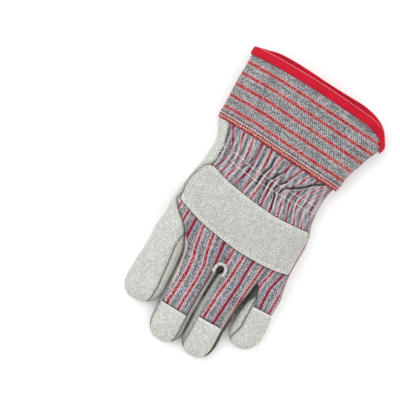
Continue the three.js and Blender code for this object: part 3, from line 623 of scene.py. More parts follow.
class Skin:
    """Grids of points sewn into one surface, each owned by a piece. A grid faces outwards where its
    columns run to the right and its rows upwards."""

    def __init__(self):
        self.grids = []
        self.level = np.zeros((0, 3))
        self.plain_joins = []

    def add(self, piece, grid):
        """Takes in a grid of a piece."""
        self.grids.append((piece, grid))

    def sew(self):
        """Corners that round to the same micrometre become one vertex, and each square of a grid
        two triangles, less those that a pole has closed."""
        self.names = sorted({piece for piece, _ in self.grids})
        triangles, owners = [], []
        start = 0
        for piece, grid in self.grids:
            rows, columns = grid.shape[:2]
            ids = start + np.arange(rows * columns).reshape(rows, columns)
            triangles.append(squares(ids[:-1, :-1], ids[:-1, 1:], ids[1:, 1:], ids[1:, :-1]))
            owners.append(np.full(len(triangles[-1]), self.names.index(piece)))
            start += rows * columns
        joins = np.concatenate([np.zeros((0, 3)), *self.plain_joins])
        corners = np.concatenate([grid.reshape(-1, 3) for _, grid in self.grids] + [self.level, joins])
        rounded = np.round(corners * 1000).astype(np.int64)
        _, first, same = np.unique(rounded, axis=0, return_index=True, return_inverse=True)
        same = same.ravel()
        triangles = same[np.concatenate(triangles)]
        closed = (triangles == np.roll(triangles, 1, axis=1)).any(1)
        self.points = corners[first]
        self.triangles = triangles[~closed]
        self.owners = np.concatenate(owners)[~closed]
        self.normals = surface_normals(self.points, self.triangles)
        level_end = start + len(self.level)
        self.normals[same[start:level_end], 2] = 0
        self.no_seam = same[level_end:]
        self.normals = unit(self.normals)
        return self

    def piece(self, name):
        """The piece's vertices and its triangles, counted among those vertices."""
        mine = self.triangles[self.owners == self.names.index(name)]
        ids, local = np.unique(mine, return_inverse=True)
        return ids, local.reshape(-1, 3)

    def from_seam(self, ids, name, others=None):
        """Distance of the piece's vertices from its border with the others, or with any."""
        chosen = [i for i, n in enumerate(self.names) if n != name and (others is None or n in others)]
        shared = np.intersect1d(ids, self.triangles[np.isin(self.owners, chosen)])
        shared = np.setdiff1d(shared, self.no_seam)
        if not len(shared):
            return np.full(len(ids), FAR)
        return distance(self.points[ids], self.points[shared])


def seam_height(far):
    """Height beside a sewn seam: a groove of Gaussian section on the seam, and a swell past it that
    rises with the distance and dies away exponentially."""
    swell = far / SWELL_REACH * np.exp(1 - far / SWELL_REACH)
    return SWELL * swell - GROOVE * hump(far, GROOVE_WIDTH)


def rim_of(triangles, count):
    """The edges that only one triangle has, each in that triangle's direction."""
    edges = np.concatenate([triangles[:, [0, 1]], triangles[:, [1, 2]], triangles[:, [2, 0]]])
    code = edges[:, 0] * count + edges[:, 1]
    reverse = edges[:, 1] * count + edges[:, 0]
    return edges[~np.isin(code, reverse)]


def add_mesh(name, points, triangles, flat=None, values=None, weave=None, around=0):
    """A mesh object from arrays in millimetres, with flat-shaded faces where flat says so, a number
    at each vertex for each of the values, and a weave map in millimetres. around is the map's
    width where it runs right round the piece and meets itself."""
    mesh = bpy.data.meshes.new(name)
    mesh.from_pydata(((points - MIDDLE) * MM).tolist(), [], triangles.tolist())
    smooth = np.ones(len(triangles), bool) if flat is None else ~flat
    mesh.polygons.foreach_set("use_smooth", smooth)
    for key, numbers in (values or {}).items():
        layer = mesh.attributes.new(key, "FLOAT", "POINT")
        layer.data.foreach_set("value", np.asarray(numbers, np.float32))
    if weave is not None:
        corners = weave[triangles]
        if around:
            u = corners[..., 0]
            crossing = np.ptp(u, axis=1, keepdims=True) > around / 2
            corners[..., 0] = u + around * (crossing & (u < around / 2))
        layer = mesh.uv_layers.new(name="weave")
        layer.data.foreach_set("uv", corners.astype(np.float32).ravel())
    mesh.update()
    made = bpy.data.objects.new(name, mesh)
    bpy.context.scene.collection.objects.link(made)
    return made


def add_wall(name, points, normals, triangles, thickness, values=None, weave=None, around=0):
    """A closed wall: the outer face, the same face moved inwards along its normals by the
    thickness, and a band between their rims."""
    count = len(points)
    a, b = rim_of(triangles, count).T
    band = squares(a, a + count, b + count, b)
    every = np.concatenate([triangles, triangles[:, ::-1] + count, band])
    flat = np.arange(len(every)) >= 2 * len(triangles)
    both = {key: np.tile(numbers, 2) for key, numbers in (values or {}).items()}
    points = np.maximum(points, LOWEST)
    doubled = np.concatenate([points, np.maximum(points - normals * thickness, LOWEST)])
    weave = None if weave is None else np.tile(weave, (2, 1))
    return add_mesh(name, doubled, every, flat, both, weave, around)


def spread(count):
    """Even steps from 0 to 1."""
    return np.linspace(0, 1, count + 1)


def back_steps(strip, v):
    """Steps across the back of one strip of the hand, one row for each v. They crowd towards the
    hand's outer edges, where the oval turns down. In the last strip the first steps are cloth and
    the rest the leather wrap."""
    v = np.asarray(v, float)[:, None]
    if strip == 0:
        return -1 + 2 * spread(BACK_COLUMNS) ** 1.7 + 0 * v
    if strip < 3:
        return -1 + 2 * spread(BACK_COLUMNS) + 0 * v
    wrap = read(WRAP, "share", v, "v")
    cloth = mix(-1, wrap, spread(BACK_COLUMNS - WRAP_COLUMNS))
    leather = mix(wrap, 1, 1 - (1 - spread(WRAP_COLUMNS)) ** 1.7)
    return np.concatenate([cloth, leather[:, 1:]], 1)


def palm_steps():
    """Steps across the palm side of one strip: its outer ones belong to the fingers' side strips."""
    side = mix(-1, -FORK_REACH, spread(FORK_COLUMNS) ** 1.4)
    middle = np.linspace(-FORK_REACH, FORK_REACH, PALM_COLUMNS + 1)[1:-1]
    return np.concatenate([side, middle, -side[::-1]])


def palm_piece(strip):
    """The piece that a strip's palm side belongs to."""
    return "middle_ring_palm" if strip in (1, 2) else "palm"


def finger_rows(strip):
    """Rows of one finger as v and how far each is into the dome, with the row where the leather tip
    starts and the one where the side strips have closed."""
    ends = FINGER_ENDS[FINGER_NAMES[strip]]
    first = CROTCH_ROW[strip + (0 if strip == 3 else 1)]
    tip = min(max((ends["patch"] - first) / (ends["dome"] - first), 0), 1)
    before = 2 + 3 * tip * spread(round((ends["patch"] - first) / ROW_PITCH))
    between = mix(2 + 3 * tip, 5, spread(max(round((ends["dome"] - ends["patch"]) / ROW_PITCH), 1)))[1:]
    if tip == 1:
        between = between[:0]
    v = np.concatenate([before, between, np.full(DOME_ROWS, 5.0)])
    dome = np.concatenate([np.zeros(len(before) + len(between)), spread(DOME_ROWS)[1:]])
    return v, dome, len(before) - 1, int((dome <= STRIP_CLOSED).sum()) - 1


def finger_points(strip, q, v, dome, side):
    """Points of one finger for rows v and dome and steps q."""
    v, dome = v[:, None], dome[:, None]
    body = body_point(strip, q, np.where(dome > 0, 5, v), side)
    cap = dome_point(strip, q, dome, side)
    return np.where((dome > 0)[..., None], cap, body)


def add_hand(skin):
    """The hand's back and palm, strip by strip from the cuff's seam to the crotches."""
    v = np.concatenate([spread(WRIST_ROWS), 1 + spread(KNUCKLE_ROWS)[1:]])
    thumb_row = WRIST_ROWS
    for strip in range(4):
        back = body_point(strip, back_steps(strip, v), v[:, None], 1)
        palm = body_point(strip, palm_steps(), v[:, None], -1)
        cloth = BACK_COLUMNS - (WRAP_COLUMNS if strip == 3 else 0)
        skin.add("back_cloth", back[:, : cloth + 1])
        if strip == 3:
            skin.add("palm", back[:, cloth:])
            skin.level = back[:thumb_row, -1]
        first = thumb_row if strip == 3 else 0
        last = len(v) - 1 - PALM_SEAM_ROWS
        skin.add("palm", palm[first : last + 1][::-1])
        skin.add(palm_piece(strip), palm[last:][::-1])


def side_seams(strip, v, dome):
    """Steps either way at which the back of a finger meets its side strips, one for each row: a
    power of a quarter sine opens them, and a square closes them in the dome."""
    closed = np.minimum(dome / STRIP_CLOSED, 1) ** 2
    steps = []
    for at_crotch, at_dome, power in FINGER_SEAMS[FINGER_NAMES[strip]]:
        opened = np.sin(np.pi / 2 * np.clip((v - 2) / STRIP_OPEN, 0, 1)) ** power
        share = mix(at_crotch, at_dome, np.clip((v - 2 - STRIP_OPEN) / (3 - STRIP_OPEN), 0, 1))
        full = 2 / np.pi * np.arcsin(share ** (FINGER_POWER / 2))
        steps.append(mix(1, full, opened * (1 - closed))[:, None])
    return steps


def add_finger(skin, strip):
    """One finger's back, palm, and the two side strips that reach under it."""
    name = FINGER_NAMES[strip]
    v, dome, tip_row, side_end = finger_rows(strip)
    eased = smoothstep(v, 2, 2.6)[:, None]
    left, right = side_seams(strip, v, dome)
    hand = (back_steps(strip, [2.0]) + 1) / 2
    share = mix(hand, spread(BACK_COLUMNS), eased)
    back = finger_points(strip, mix(-left, right, share), v, dome, 1)
    q = palm_steps()
    palm = finger_points(strip, q, v, dome, -1)
    side = spread(SIDE_COLUMNS)
    right_top = finger_points(strip, mix(right, 1, side), v, dome, 1)
    left_top = finger_points(strip, mix(-1, -left, side), v, dome, 1)
    fork = FORK_COLUMNS
    right_side = np.concatenate([right_top, palm[:, ::-1][:, 1 : fork + 1]], 1)
    left_side = np.concatenate([palm[:, : fork + 1][:, ::-1], left_top[:, 1:]], 1)
    if strip == 3:
        skin.add("palm", back)
    else:
        skin.add("back_cloth", back[: tip_row + 1])
        skin.add(f"tip_{name}", back[tip_row:])
    skin.add(palm_piece(strip), palm[:, fork : len(q) - fork][::-1])
    for gap, grid in ((strip, right_side), (strip - 1, left_side)):
        if 0 <= gap < len(FORKS):
            skin.add(FORKS[gap], grid[: side_end + 1])
            skin.add(palm_piece(strip), grid[side_end:])
            skin.plain_joins.append(grid[side_end, 1:-1])
        else:
            skin.add(palm_piece(strip), grid)


@functools.cache
def hand_skin():
    """The hand and its fingers as one sewn surface."""
    skin = Skin()
    add_hand(skin)
    for strip in range(4):
        add_finger(skin, strip)
    return skin.sew()


def thumb_place(s, t):
    """Plan of the folded thumb: straight from its upper edge (t = 0) to its lower edge (t = 1) up
    to the seam with the palm, and past it on to the index edge, round the corner and along the
    cuff's seam."""
    upper = [read(THUMB, key, np.minimum(s, THUMB_JOIN), "s") for key in ("upper_x", "upper_y")]
    lower = [read(THUMB, key, np.minimum(s, THUMB_JOIN), "s") for key in ("lower_x", "lower_y")]
    x, y = (mix(a, b, t) for a, b in zip(upper, lower))
    far = np.clip((s - THUMB_JOIN) / (1 - THUMB_JOIN), 0, 1)
    edge_y = mix(THUMB_ROW[4], CUFF_ROW[4], np.minimum(t / THUMB_CORNER, 1))
    along_cuff = np.clip((t - THUMB_CORNER) / (1 - THUMB_CORNER), 0, 1)
    edge_x = mix(read(HAND, "x4", edge_y), THUMB_CUFF_END, along_cuff)
    return mix(x, edge_x, far), mix(y, edge_y, far)


def thumb_points(s, t, side):
    """A point of the folded thumb: a flattened oval between its edges, as high as its pocket less
    0.9 mm for the leather over it, and at least 4 mm, rounded off at the tip. Its front is level.
    Past its seam the front rises to the hand's index edge."""
    s, t = np.broadcast_arrays(s[:, None], t)
    x, y = thumb_place(s, t)
    pocket = np.maximum(palm_lift(x, y) - 0.9, 4)
    edge = THUMB_EDGE * pocket
    dome = np.where(s < THUMB_DOME, oval(1 - s / THUMB_DOME, THUMB_POWER), 1)
    full = oval(2 * t - 1, THUMB_POWER) * dome
    if side > 0:
        return np.stack([x, y, edge + (pocket - edge) * full], -1)
    far = np.clip((s - THUMB_JOIN) / (1 - THUMB_JOIN), 0, 1)
    rise = 1 - oval(far, THUMB_POWER)
    rim = mix(edge, read(HAND, "high_edge", y), rise)
    bowl = np.maximum(mix(edge, -0.8, full), 0)
    return np.stack([x, y, np.where(far > 0, mix(bowl, rim, rise), bowl)], -1)


@functools.cache
def thumb_skin():
    """The thumb's two halves, sewn round the outline."""
    tip = THUMB_DOME / 2
    body = np.linspace(tip, THUMB_JOIN, THUMB_BODY_ROWS)
    join = np.concatenate([tip * spread(THUMB_TIP_ROWS) ** 1.6, body[1:]])
    base = mix(THUMB_JOIN, 1, 1 - (1 - spread(THUMB_BASE_ROWS)) ** 1.5)[1:]
    t = (oval_share(2 * spread(THUMB_COLUMNS) - 1, 2) + 1) / 2
    skin = Skin()
    skin.add("thumb_back", thumb_points(join, t, 1))
    front = thumb_points(np.concatenate([join, base]), t, -1)
    skin.add("thumb_front", front[::-1])
    skin.level = front[-1]
    return skin.sew()


def hand_point(x, y, side=1):
    """The place of the hand's surface above or below x and y."""
    x, y = np.broadcast_arrays(np.asarray(x, float), np.asarray(y, float))
    borders = np.stack([read(HAND, f"x{i}", np.minimum(y, HAND_END)) for i in range(5)], -1)
    strips = np.clip((borders <= x[..., None]).sum(-1) - 1, 0, 3)
    points = np.zeros(x.shape + (3,))
    for strip in range(4):
        here = strips == strip
        low, high = borders[here][:, strip], borders[here][:, strip + 1]
        q = np.clip(2 * (x[here] - low) / (high - low) - 1, -1, 1)
        cuff, thumb, crotch = (row_y(v, strip, q) for v in (0, 1, 2))
        below = (y[here] - cuff) / (thumb - cuff)
        above = 1 + (y[here] - thumb) / (crotch - thumb)
        v = np.clip(np.where(y[here] < thumb, below, above), 0, 2)
        points[here] = body_point(strip, q, v, side)
    return points


def strap_point(x, share):
    """The knuckle strap's outer face: it follows the hand's back, lies on it at the two sewn edges
    and swells 1 mm off it between them, less a groove of Gaussian section at each row of stitches."""
    low, high = read(STRAP, "low", x, "x"), read(STRAP, "high", x, "x")
    from_edge = np.minimum(share, 1 - share) * (high - low)
    swell = 1 - np.exp(-from_edge / 5.0)
    row = 0.35 * hump(from_edge - STRAP_STITCH_INSET, 0.9)
    points = hand_point(x, mix(low, high, share))
    points[..., 2] += STRAP_LIFT + swell - row
    return points


def cuff_point(angle, t):
    """The cuff's outer wall: round a flattened oval from the index side (0) over the back (a
    quarter turn), and from the hand's seam (t = 0) to the bound edge (t = 1)."""
    angle, t = np.broadcast_arrays(np.asarray(angle, float), np.asarray(t, float))
    cosine, sine = np.cos(angle), np.sin(angle)
    share = np.sign(cosine) * np.abs(cosine) ** (2 / CUFF_POWER)
    start = np.interp((share + 1) * 2, range(5), CUFF_ROW) - CUFF_GAP
    longer = read(CUFF_EDGE, "longer", share, "share") * np.maximum(-sine, 0)
    end = read(CUFF_EDGE, "y", share, "share") - longer
    y = mix(start, end, t)
    x = mix(read(CUFF, "left", y), read(CUFF, "right", y), (share + 1) / 2)
    side = read(CUFF, "side", y)
    rise = np.where(sine > 0, read(CUFF, "top", y) - side, side + 1)
    z = side + rise * np.sign(sine) * np.abs(sine) ** (2 / CUFF_POWER)
    return np.stack([x, y, np.maximum(z, CUFF_FLOOR)], -1)


def cuff_normal(angle, t):
    """The wall's outward direction: the cross product of its two directions."""
    step = 1e-3
    along = cuff_point(angle, t + step) - cuff_point(angle, t - step)
    around = cuff_point(angle + step, t) - cuff_point(angle - step, t)
    return unit(np.cross(around, along))


def smooth_line(points, count):
    """A smooth curve through the points, in count steps: cubic pieces whose slopes are the chords
    past each point."""
    points = np.asarray(points, float)
    rows = {"k": np.arange(len(points), dtype=float)}
    rows.update({key: points[:, i] for i, key in enumerate("xyz"[: points.shape[1]])})
    at = np.linspace(0, len(points) - 1, count + 1)
    return np.stack([read(rows, key, at, "k") for key in "xyz"[: points.shape[1]]], -1)


def tube(path, up, across, high, sides=16):
    """An oval bar along a path with rounded ends: at each point the section is shrunk by the root
    of its distance from the nearer end, over one half width."""
    along = unit(np.gradient(path, axis=0))
    side = unit(np.cross(along, up))
    top = np.cross(side, along)
    run = path_lengths(path)
    end = np.clip(np.minimum(run, run[-1] - run) / across, 0, 1)
    size = np.sqrt(np.maximum(1 - (1 - end) ** 2, 0))[:, None, None]
    turn = 2 * np.pi * spread(sides)[:, None]
    section = across * np.cos(turn) * side[:, None] + high * np.sin(turn) * top[:, None]
    return path[:, None] + size * section


def thread(paths, length, gap, radius, zigzag=0.0):
    """Stitches along paths of points and directions: each is a short bar of six sides that bows up
    from the surface and tapers into it at both ends. A zigzag turns every other one to each side."""
    ring = np.array([-0.5, -0.4, -0.15, 0.15, 0.4, 0.5])
    width = np.array([0.0, 0.75, 1.0, 1.0, 0.75, 0.0])
    turn = 2 * np.pi * np.arange(6) / 6
    points = []
    for path, normals in paths:
        run = path_lengths(path)
        at = np.arange(length / 2 + gap, run[-1] - length / 2, length + gap)
        place = lambda s, rows: np.stack([np.interp(s, run, rows[:, i]) for i in range(3)], -1)
        middle, up = place(at, path), unit(place(at, normals))
        along = unit(place(at + length / 2, path) - place(at - length / 2, path))
        side = np.cross(along, up)
        lean = zigzag * np.where(np.arange(len(at)) % 2, 1, -1)[:, None]
        along = unit(along + lean * side)
        side = np.cross(along, up)
        bow = radius * (0.8 - 5.2 * ring**2)
        centre = middle[:, None] + length * ring[:, None] * along[:, None] + bow[:, None] * up[:, None]
        round_it = np.cos(turn)[:, None] * side[:, None] + np.sin(turn)[:, None] * up[:, None]
        points.append(centre[:, :, None] + radius * width[:, None, None] * round_it[:, None])
    points = np.concatenate(points)
    count, rings, sides = points.shape[:3]
    ids = np.arange(count * rings * sides).reshape(count, rings, sides)
    beside = np.roll(ids, -1, axis=2)
    triangles = squares(ids[:, :-1], ids[:, 1:], beside[:, 1:], beside[:, :-1])
    points = points.reshape(-1, 3)
    rounded = np.round(points * 1e5).astype(np.int64)
    _, first, same = np.unique(rounded, axis=0, return_index=True, return_inverse=True)
    triangles = same.ravel()[triangles]
    open_ones = ~(triangles == np.roll(triangles, 1, axis=1)).any(1)
    return points[first], triangles[open_ones]


def linear(colour):
    """An sRGB hex colour as the linear light that Blender's shaders use."""
    parts = np.array([int(colour[i : i + 2], 16) for i in (1, 3, 5)]) / 255
    return tuple(np.where(parts <= 0.04045, parts / 12.92, ((parts + 0.055) / 1.055) ** 2.4)) + (1.0,)


def per(millimetres):
    """A texture scale on Object coordinates, which are in metres, for a pattern of that size."""
    return 1 / (millimetres * MM)


def node(material, kind, inputs=(), out=0, stops=(), **settings):
    """Adds one node and returns one of its outputs. Inputs are in order, or under their number or
    name, and each is a value or the output that feeds it. Stops are a colour ramp's places and
    colours, where a plain number is a grey. Settings are the node's properties."""
    made = material.node_tree.nodes.new("ShaderNode" + kind)
    for name, value in settings.items():
        setattr(made, name, value)
    for name, value in inputs.items() if isinstance(inputs, dict) else enumerate(inputs):
        if isinstance(value, bpy.types.NodeSocket):
            material.node_tree.links.new(value, made.inputs[name])
        else:
            made.inputs[name].default_value = value
    while stops and len(made.color_ramp.elements) < len(stops):
        made.color_ramp.elements.new(0.5)
    for i, (place, colour) in enumerate(stops):
        element = made.color_ramp.elements[i]
        element.position = place
        element.color = colour if isinstance(colour, tuple) else (*[colour] * 3, 1)
    return made.outputs[out] if made.outputs else None


def new_material(name):
    """A material with no nodes yet."""
    made = bpy.data.materials.new(name)
    made.use_nodes = True
    made.node_tree.nodes.clear()
    return made


def surface(material, look, height=None, strength=0.0, depth=0.0):
    """Ends a material with its shader, whose sockets have the given values, and a relief of a
    pattern's height, its depth in millimetres."""
    if height is not None:
        relief = {"Height": height, "Strength": strength, "Distance": depth * MM}
        look["Normal"] = node(material, "Bump", relief)
    node(material, "OutputMaterial", (node(material, "BsdfPrincipled", look),))
    return material


def shade(colour, factor, white=0.0):
    """A colour made darker by a factor, then moved a share of the way to white."""
    rgb = np.array(colour[:3]) * factor
    return (*(rgb + (1 - rgb) * white), 1.0)


def cover(material, colour, key, strength, over):
    """A colour with another over it, as strongly as the number that the mesh keeps under that key."""
    number = node(material, "Attribute", out="Fac", attribute_name=key)
    share = node(material, "Math", (number, strength), operation="MULTIPLY")
    return node(material, "Mix", {0: share, 6: colour, 7: over}, out=2, data_type="RGBA")


def painted_shade(material, colour, dark, strength, reach):
    """A colour darkened by painted shade near seams and in gaps, which comes back exponentially with
    the distance.
    """
    seam = node(material, "Attribute", out="Fac", attribute_name="seam")
    far = node(material, "Math", (seam, 0.0), operation="MAXIMUM")
    share = node(material, "Math", (np.exp(-1 / reach), far), operation="POWER")
    share = node(material, "Math", (share, strength), operation="MULTIPLY")
    return node(material, "Mix", {0: share, 6: colour, 7: dark}, out=2, data_type="RGBA")


def suede(name, leather):
    """Split cowhide: the flesh side of the hide, brushed to a nap. The eye gets a dull greenish
    white with a fine speckle of darker pores and paler tufts, faint clouds where the nap lies
    another way and paler fibres along a cut edge. Painted shade darkens it at its seams, down
    the gaps between the fingers and in the crotch hole."""
    made = new_material(name)
    place = node(made, "TexCoord", out="Object")
    # The fibres are about 0.3 mm, and are drawn as tufts of 0.75 and 0.8 mm, the finest that show
    tuft_noise = {"Vector": place, "Scale": per(0.75), "Detail": 1.0, "Roughness": 0.7}
    tufts = node(made, "TexNoise", tuft_noise)
    cell = node(made, "VectorMath", (place, [0.8 * MM] * 3), operation="SNAP")
    fibres = node(made, "TexWhiteNoise", {"Vector": cell}, noise_dimensions="3D")
    grain = node(made, "Math", (tufts, 0.12, 0.31), operation="MULTIPLY_ADD")
    grain = node(made, "Math", (fibres, 0.26, grain), operation="MULTIPLY_ADD")
    pores, dull, nap = shade(leather, 0.5), shade(leather, 0.82), shade(leather, 1.0, 0.42)
    stops = (0.26, pores), (0.4, dull), (0.5, leather), (0.68, nap)
    base = node(made, "ValToRGB", (grain,), stops=stops)
    clouds = node(made, "TexNoise", {"Vector": place, "Scale": per(16), "Detail": 3.0})
    tone = node(made, "ValToRGB", (clouds,), stops=((0.35, 0.94), (0.65, 1.0)))
    layers = {0: 1.0, 6: base, 7: tone}
    toned = node(made, "Mix", layers, out=2, data_type="RGBA", blend_type="MULTIPLY")
    # Painted shade at seams, down the gaps between the fingers and in the crotch hole
    seam_shaded = painted_shade(made, toned, shade(leather, 0.06), 0.92, 0.7)
    edged = cover(made, seam_shaded, "cut", 0.8, shade(leather, 1.0, 0.6))
    look = {"Base Color": edged, "Roughness": 0.95, "Sheen Weight": 0.1, "Specular IOR Level": 0.1}
    return surface(made, look, tufts, 0.3, 0.35)


def ticking(name, ground, red, half_width, grey, pink, third):
    """Cotton ticking woven in stripes: a twill of grey-blue and white yarns with narrow red stripes
    between pink edges, and paler and darker bands of the ground between those. The eye gets a
    speckle of light and dark yarns in slanting ribs, and stripes whose edges are frayed by them.
    half_width is a red stripe's, as a share of the pitch. grey is how far light yarns pale the red,
    pink how wide and strong the pink edges are, and third how much darker and bluer every third
    stripe is."""
    made = new_material(name)
    uv = node(made, "UVMap", uv_map="weave")
    # The yarns are 0.5 mm apart and their ribs 1.5 mm, and are drawn at 0.8 and 2.1 mm, the finest
    # that show
    yarn, rib_pitch = 0.8, 2.1
    u, v = node(made, "SeparateXYZ", (uv,)).node.outputs[:2]
    slant = node(made, "Math", (u, v), operation="ADD")
    slant = node(made, "Math", (slant, 2 * np.pi / rib_pitch), operation="MULTIPLY")
    rib = node(made, "Math", (slant,), operation="SINE")
    crossing = node(made, "VectorMath", (uv, [yarn] * 3), operation="SNAP")
    yarns = node(made, "TexWhiteNoise", {"Vector": crossing}, noise_dimensions="2D")
    speckle = node(made, "TexNoise", {"Vector": uv, "Scale": 1.1, "Detail": 1.0, "Roughness": 0.6})
    cloudy = node(made, "TexNoise", {"Vector": uv, "Scale": 0.07, "Detail": 2.0})
    number = node(made, "Attribute", out="Fac", attribute_name="stripe")
    band = node(made, "Math", (number, 6 * np.pi, 0.9), operation="MULTIPLY_ADD")
    band = node(made, "Math", (band,), operation="SINE")
    bands = 0.02 + 0.03 * pink
    # The sum of the patterns lies about 0.5: the first number takes their middles away again
    woven = -0.015
    for pattern, strength in ((speckle, 0.55), (yarns, 0.28), (rib, 0.1), (band, bands), (cloudy, 0.2)):
        woven = node(made, "Math", (pattern, strength, woven), operation="MULTIPLY_ADD")
    stops = (0.26, shade(ground, 0.25)), (0.5, ground), (0.76, shade(ground, 1.0, 0.55))
    cloth = node(made, "ValToRGB", (woven,), stops=stops)
    stops = (0.3, shade(red, 0.45)), (0.47, red), (0.6, red), (0.74, shade(red, 1.1, grey))
    bright = node(made, "ValToRGB", (woven,), stops=stops)
    # A stripe's middle is at a whole number. The speckle frays its edges by 0.08 either way.
    place = node(made, "Math", (number, 0.42), operation="ADD")
    place = node(made, "Math", (speckle, 0.16, place), operation="MULTIPLY_ADD")
    place = node(made, "Math", (place,), operation="FRACT")
    low, high = 0.5 - half_width, 0.5 + half_width
    stops = (low - 0.03, 0.0), (low + 0.02, 1.0), (high - 0.02, 1.0), (high + 0.03, 0.0)
    core = node(made, "ValToRGB", (place,), stops=stops)
    near, wide = 0.8 * pink, 0.13 + 0.03 * pink
    stops = (low - wide, 0.0), (low - 0.03, near), (high + 0.03, near), (high + wide, 0.0)
    edge = node(made, "ValToRGB", (place,), stops=stops)
    whole = node(made, "Math", (number,), operation="ROUND")
    turn = node(made, "Math", (whole, 2 * np.pi / 3, -10 * np.pi / 3), operation="MULTIPLY_ADD")
    deeper = node(made, "Math", (turn,), operation="COSINE")
    deeper = node(made, "Math", (deeper, 0.0), operation="MAXIMUM")
    deeper = node(made, "Math", (deeper, third), operation="MULTIPLY")
    crimson = (0.7 * red[0], 0.35 * red[1], 1.1 * red[2], 1.0)
    reds = node(made, "Mix", {0: deeper, 6: bright, 7: crimson}, out=2, data_type="RGBA")
    fade = node(made, "Math", (deeper, -0.7, 1.0), operation="MULTIPLY_ADD")
    edge = node(made, "Math", (edge, fade), operation="MULTIPLY")
    rose = shade(red, 1.5, 0.58)
    edged = node(made, "Mix", {0: edge, 6: cloth, 7: rose}, out=2, data_type="RGBA")
    colour = node(made, "Mix", {0: core, 6: edged, 7: reds}, out=2, data_type="RGBA")
    colour = cover(made, colour, "selvage", 0.8, linear("#EBD3C6"))
    # Painted highlight on the folds' lips and painted shade in their crevices
    colour = cover(made, colour, "lip_highlight", 0.7, shade(ground, 1.0, 0.8))
    colour = cover(made, colour, "crevice_shade", 0.92, shade(ground, 0.04))
    # Painted shade at the cloth's seams and painted shadow along the strap's edges
    colour = painted_shade(made, colour, shade(ground, 0.08), 0.8, 0.9)
    look = {"Base Color": colour, "Roughness": 0.9, "Sheen Weight": 0.08, "Specular IOR Level": 0.15}
    return surface(made, look, woven, 0.6, 0.3)


def bias_tape(name, colour):
    """Red bias tape: a woven cotton band, calendered smooth and folded over the edge. The eye gets
    a flat bright red with a fine even weave, darkest at the sewn edge. A painted highlight runs
    along the fold, and the inside of the mouth is painted paler against the shade that falls there."""
    made = new_material(name)
    place = node(made, "TexCoord", out="Object")
    fine = node(made, "TexNoise", {"Vector": place, "Scale": per(0.9), "Detail": 1.0})
    cloudy = node(made, "TexNoise", {"Vector": place, "Scale": per(18), "Detail": 1.0})
    both = node(made, "Math", (fine, 0.6, cloudy), operation="MULTIPLY_ADD")
    woven = node(made, "ValToRGB", (both,), stops=((0.6, 0.8), (0.95, 1.0)))
    # "fold" is 0 at the sewn edge and 0.05 on the outer face, and runs round the fold to 1 inside
    # The pale line along the fold is a painted highlight, and the inside is painted paler against the
    # shade that falls in the mouth
    edge, crest_highlight, deep = shade(colour, 0.35), shade(colour, 1.15, 0.2), shade(colour, 1.15)
    fold = node(made, "Attribute", out="Fac", attribute_name="fold")
    stops = (0.01, edge), (0.04, colour), (0.12, colour), (0.15, crest_highlight), (0.3, crest_highlight), (0.4, deep)
    layers = {0: 1.0, 6: node(made, "ValToRGB", (fold,), stops=stops), 7: woven}
    toned = node(made, "Mix", layers, out=2, data_type="RGBA", blend_type="MULTIPLY")
    look = {"Base Color": toned, "Roughness": 0.7, "Specular IOR Level": 0.1}
    return surface(made, look, fine, 0.3, 0.2)


def cotton_thread(name, colour):
    """Spun cotton sewing thread: two twisted plies. The eye gets a matt line of short bars, faintly
    banded by the twist."""
    made = new_material(name)
    place = node(made, "TexCoord", out="Object")
    twist = node(made, "TexNoise", {"Vector": place, "Scale": per(0.6)})
    shades = node(made, "ValToRGB", (twist,), stops=((0.3, 0.6), (0.6, 1.0)))
    layers = {0: 0.6, 6: colour, 7: shades}
    toned = node(made, "Mix", layers, out=2, data_type="RGBA", blend_type="MULTIPLY")
    return surface(made, {"Base Color": toned, "Roughness": 0.8})


BACK_STRIPES = dict(half_width=0.125, grey=0.4, pink=0.9, third=0.9)
CUFF_STRIPES = dict(half_width=0.124, grey=0.36, pink=0.35, third=0.0)
# Each finish: how it is made, the settings that hold its colours, and its other measures
FINISHES = {
    "split suede": (suede, ("leather",), {}),
    "grey split suede": (suede, ("strap",), {}),
    "striped cotton ticking": (ticking, ("cloth", "stripe"), BACK_STRIPES),
    "striped cuff drill": (ticking, ("cuff", "cuff_stripe"), CUFF_STRIPES),
    "red bias tape": (bias_tape, ("binding",), {}),
    "white cotton thread": (cotton_thread, ("thread",), {}),
    "pink cotton thread": (cotton_thread, ("pink_thread",), {}),
    "maroon cotton thread": (cotton_thread, ("dark_thread",), {}),
}


def finish(name):
    """The finish of that name, made the first time that a piece asks for it."""
    if name in bpy.data.materials:
        return bpy.data.materials[name]
    make, keys, measures = FINISHES[name]
    colours = [tuple(getattr(bpy.context.scene.glove, key)) for key in keys]
    return make(name, *colours, **measures)


def give(made, name, replaces=None):
    """A finished piece: its finish, the body that it rides on and node that it stands for."""
    made.data.materials.append(finish(name))
    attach(made, "root")
    if replaces:
        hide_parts(replaces)


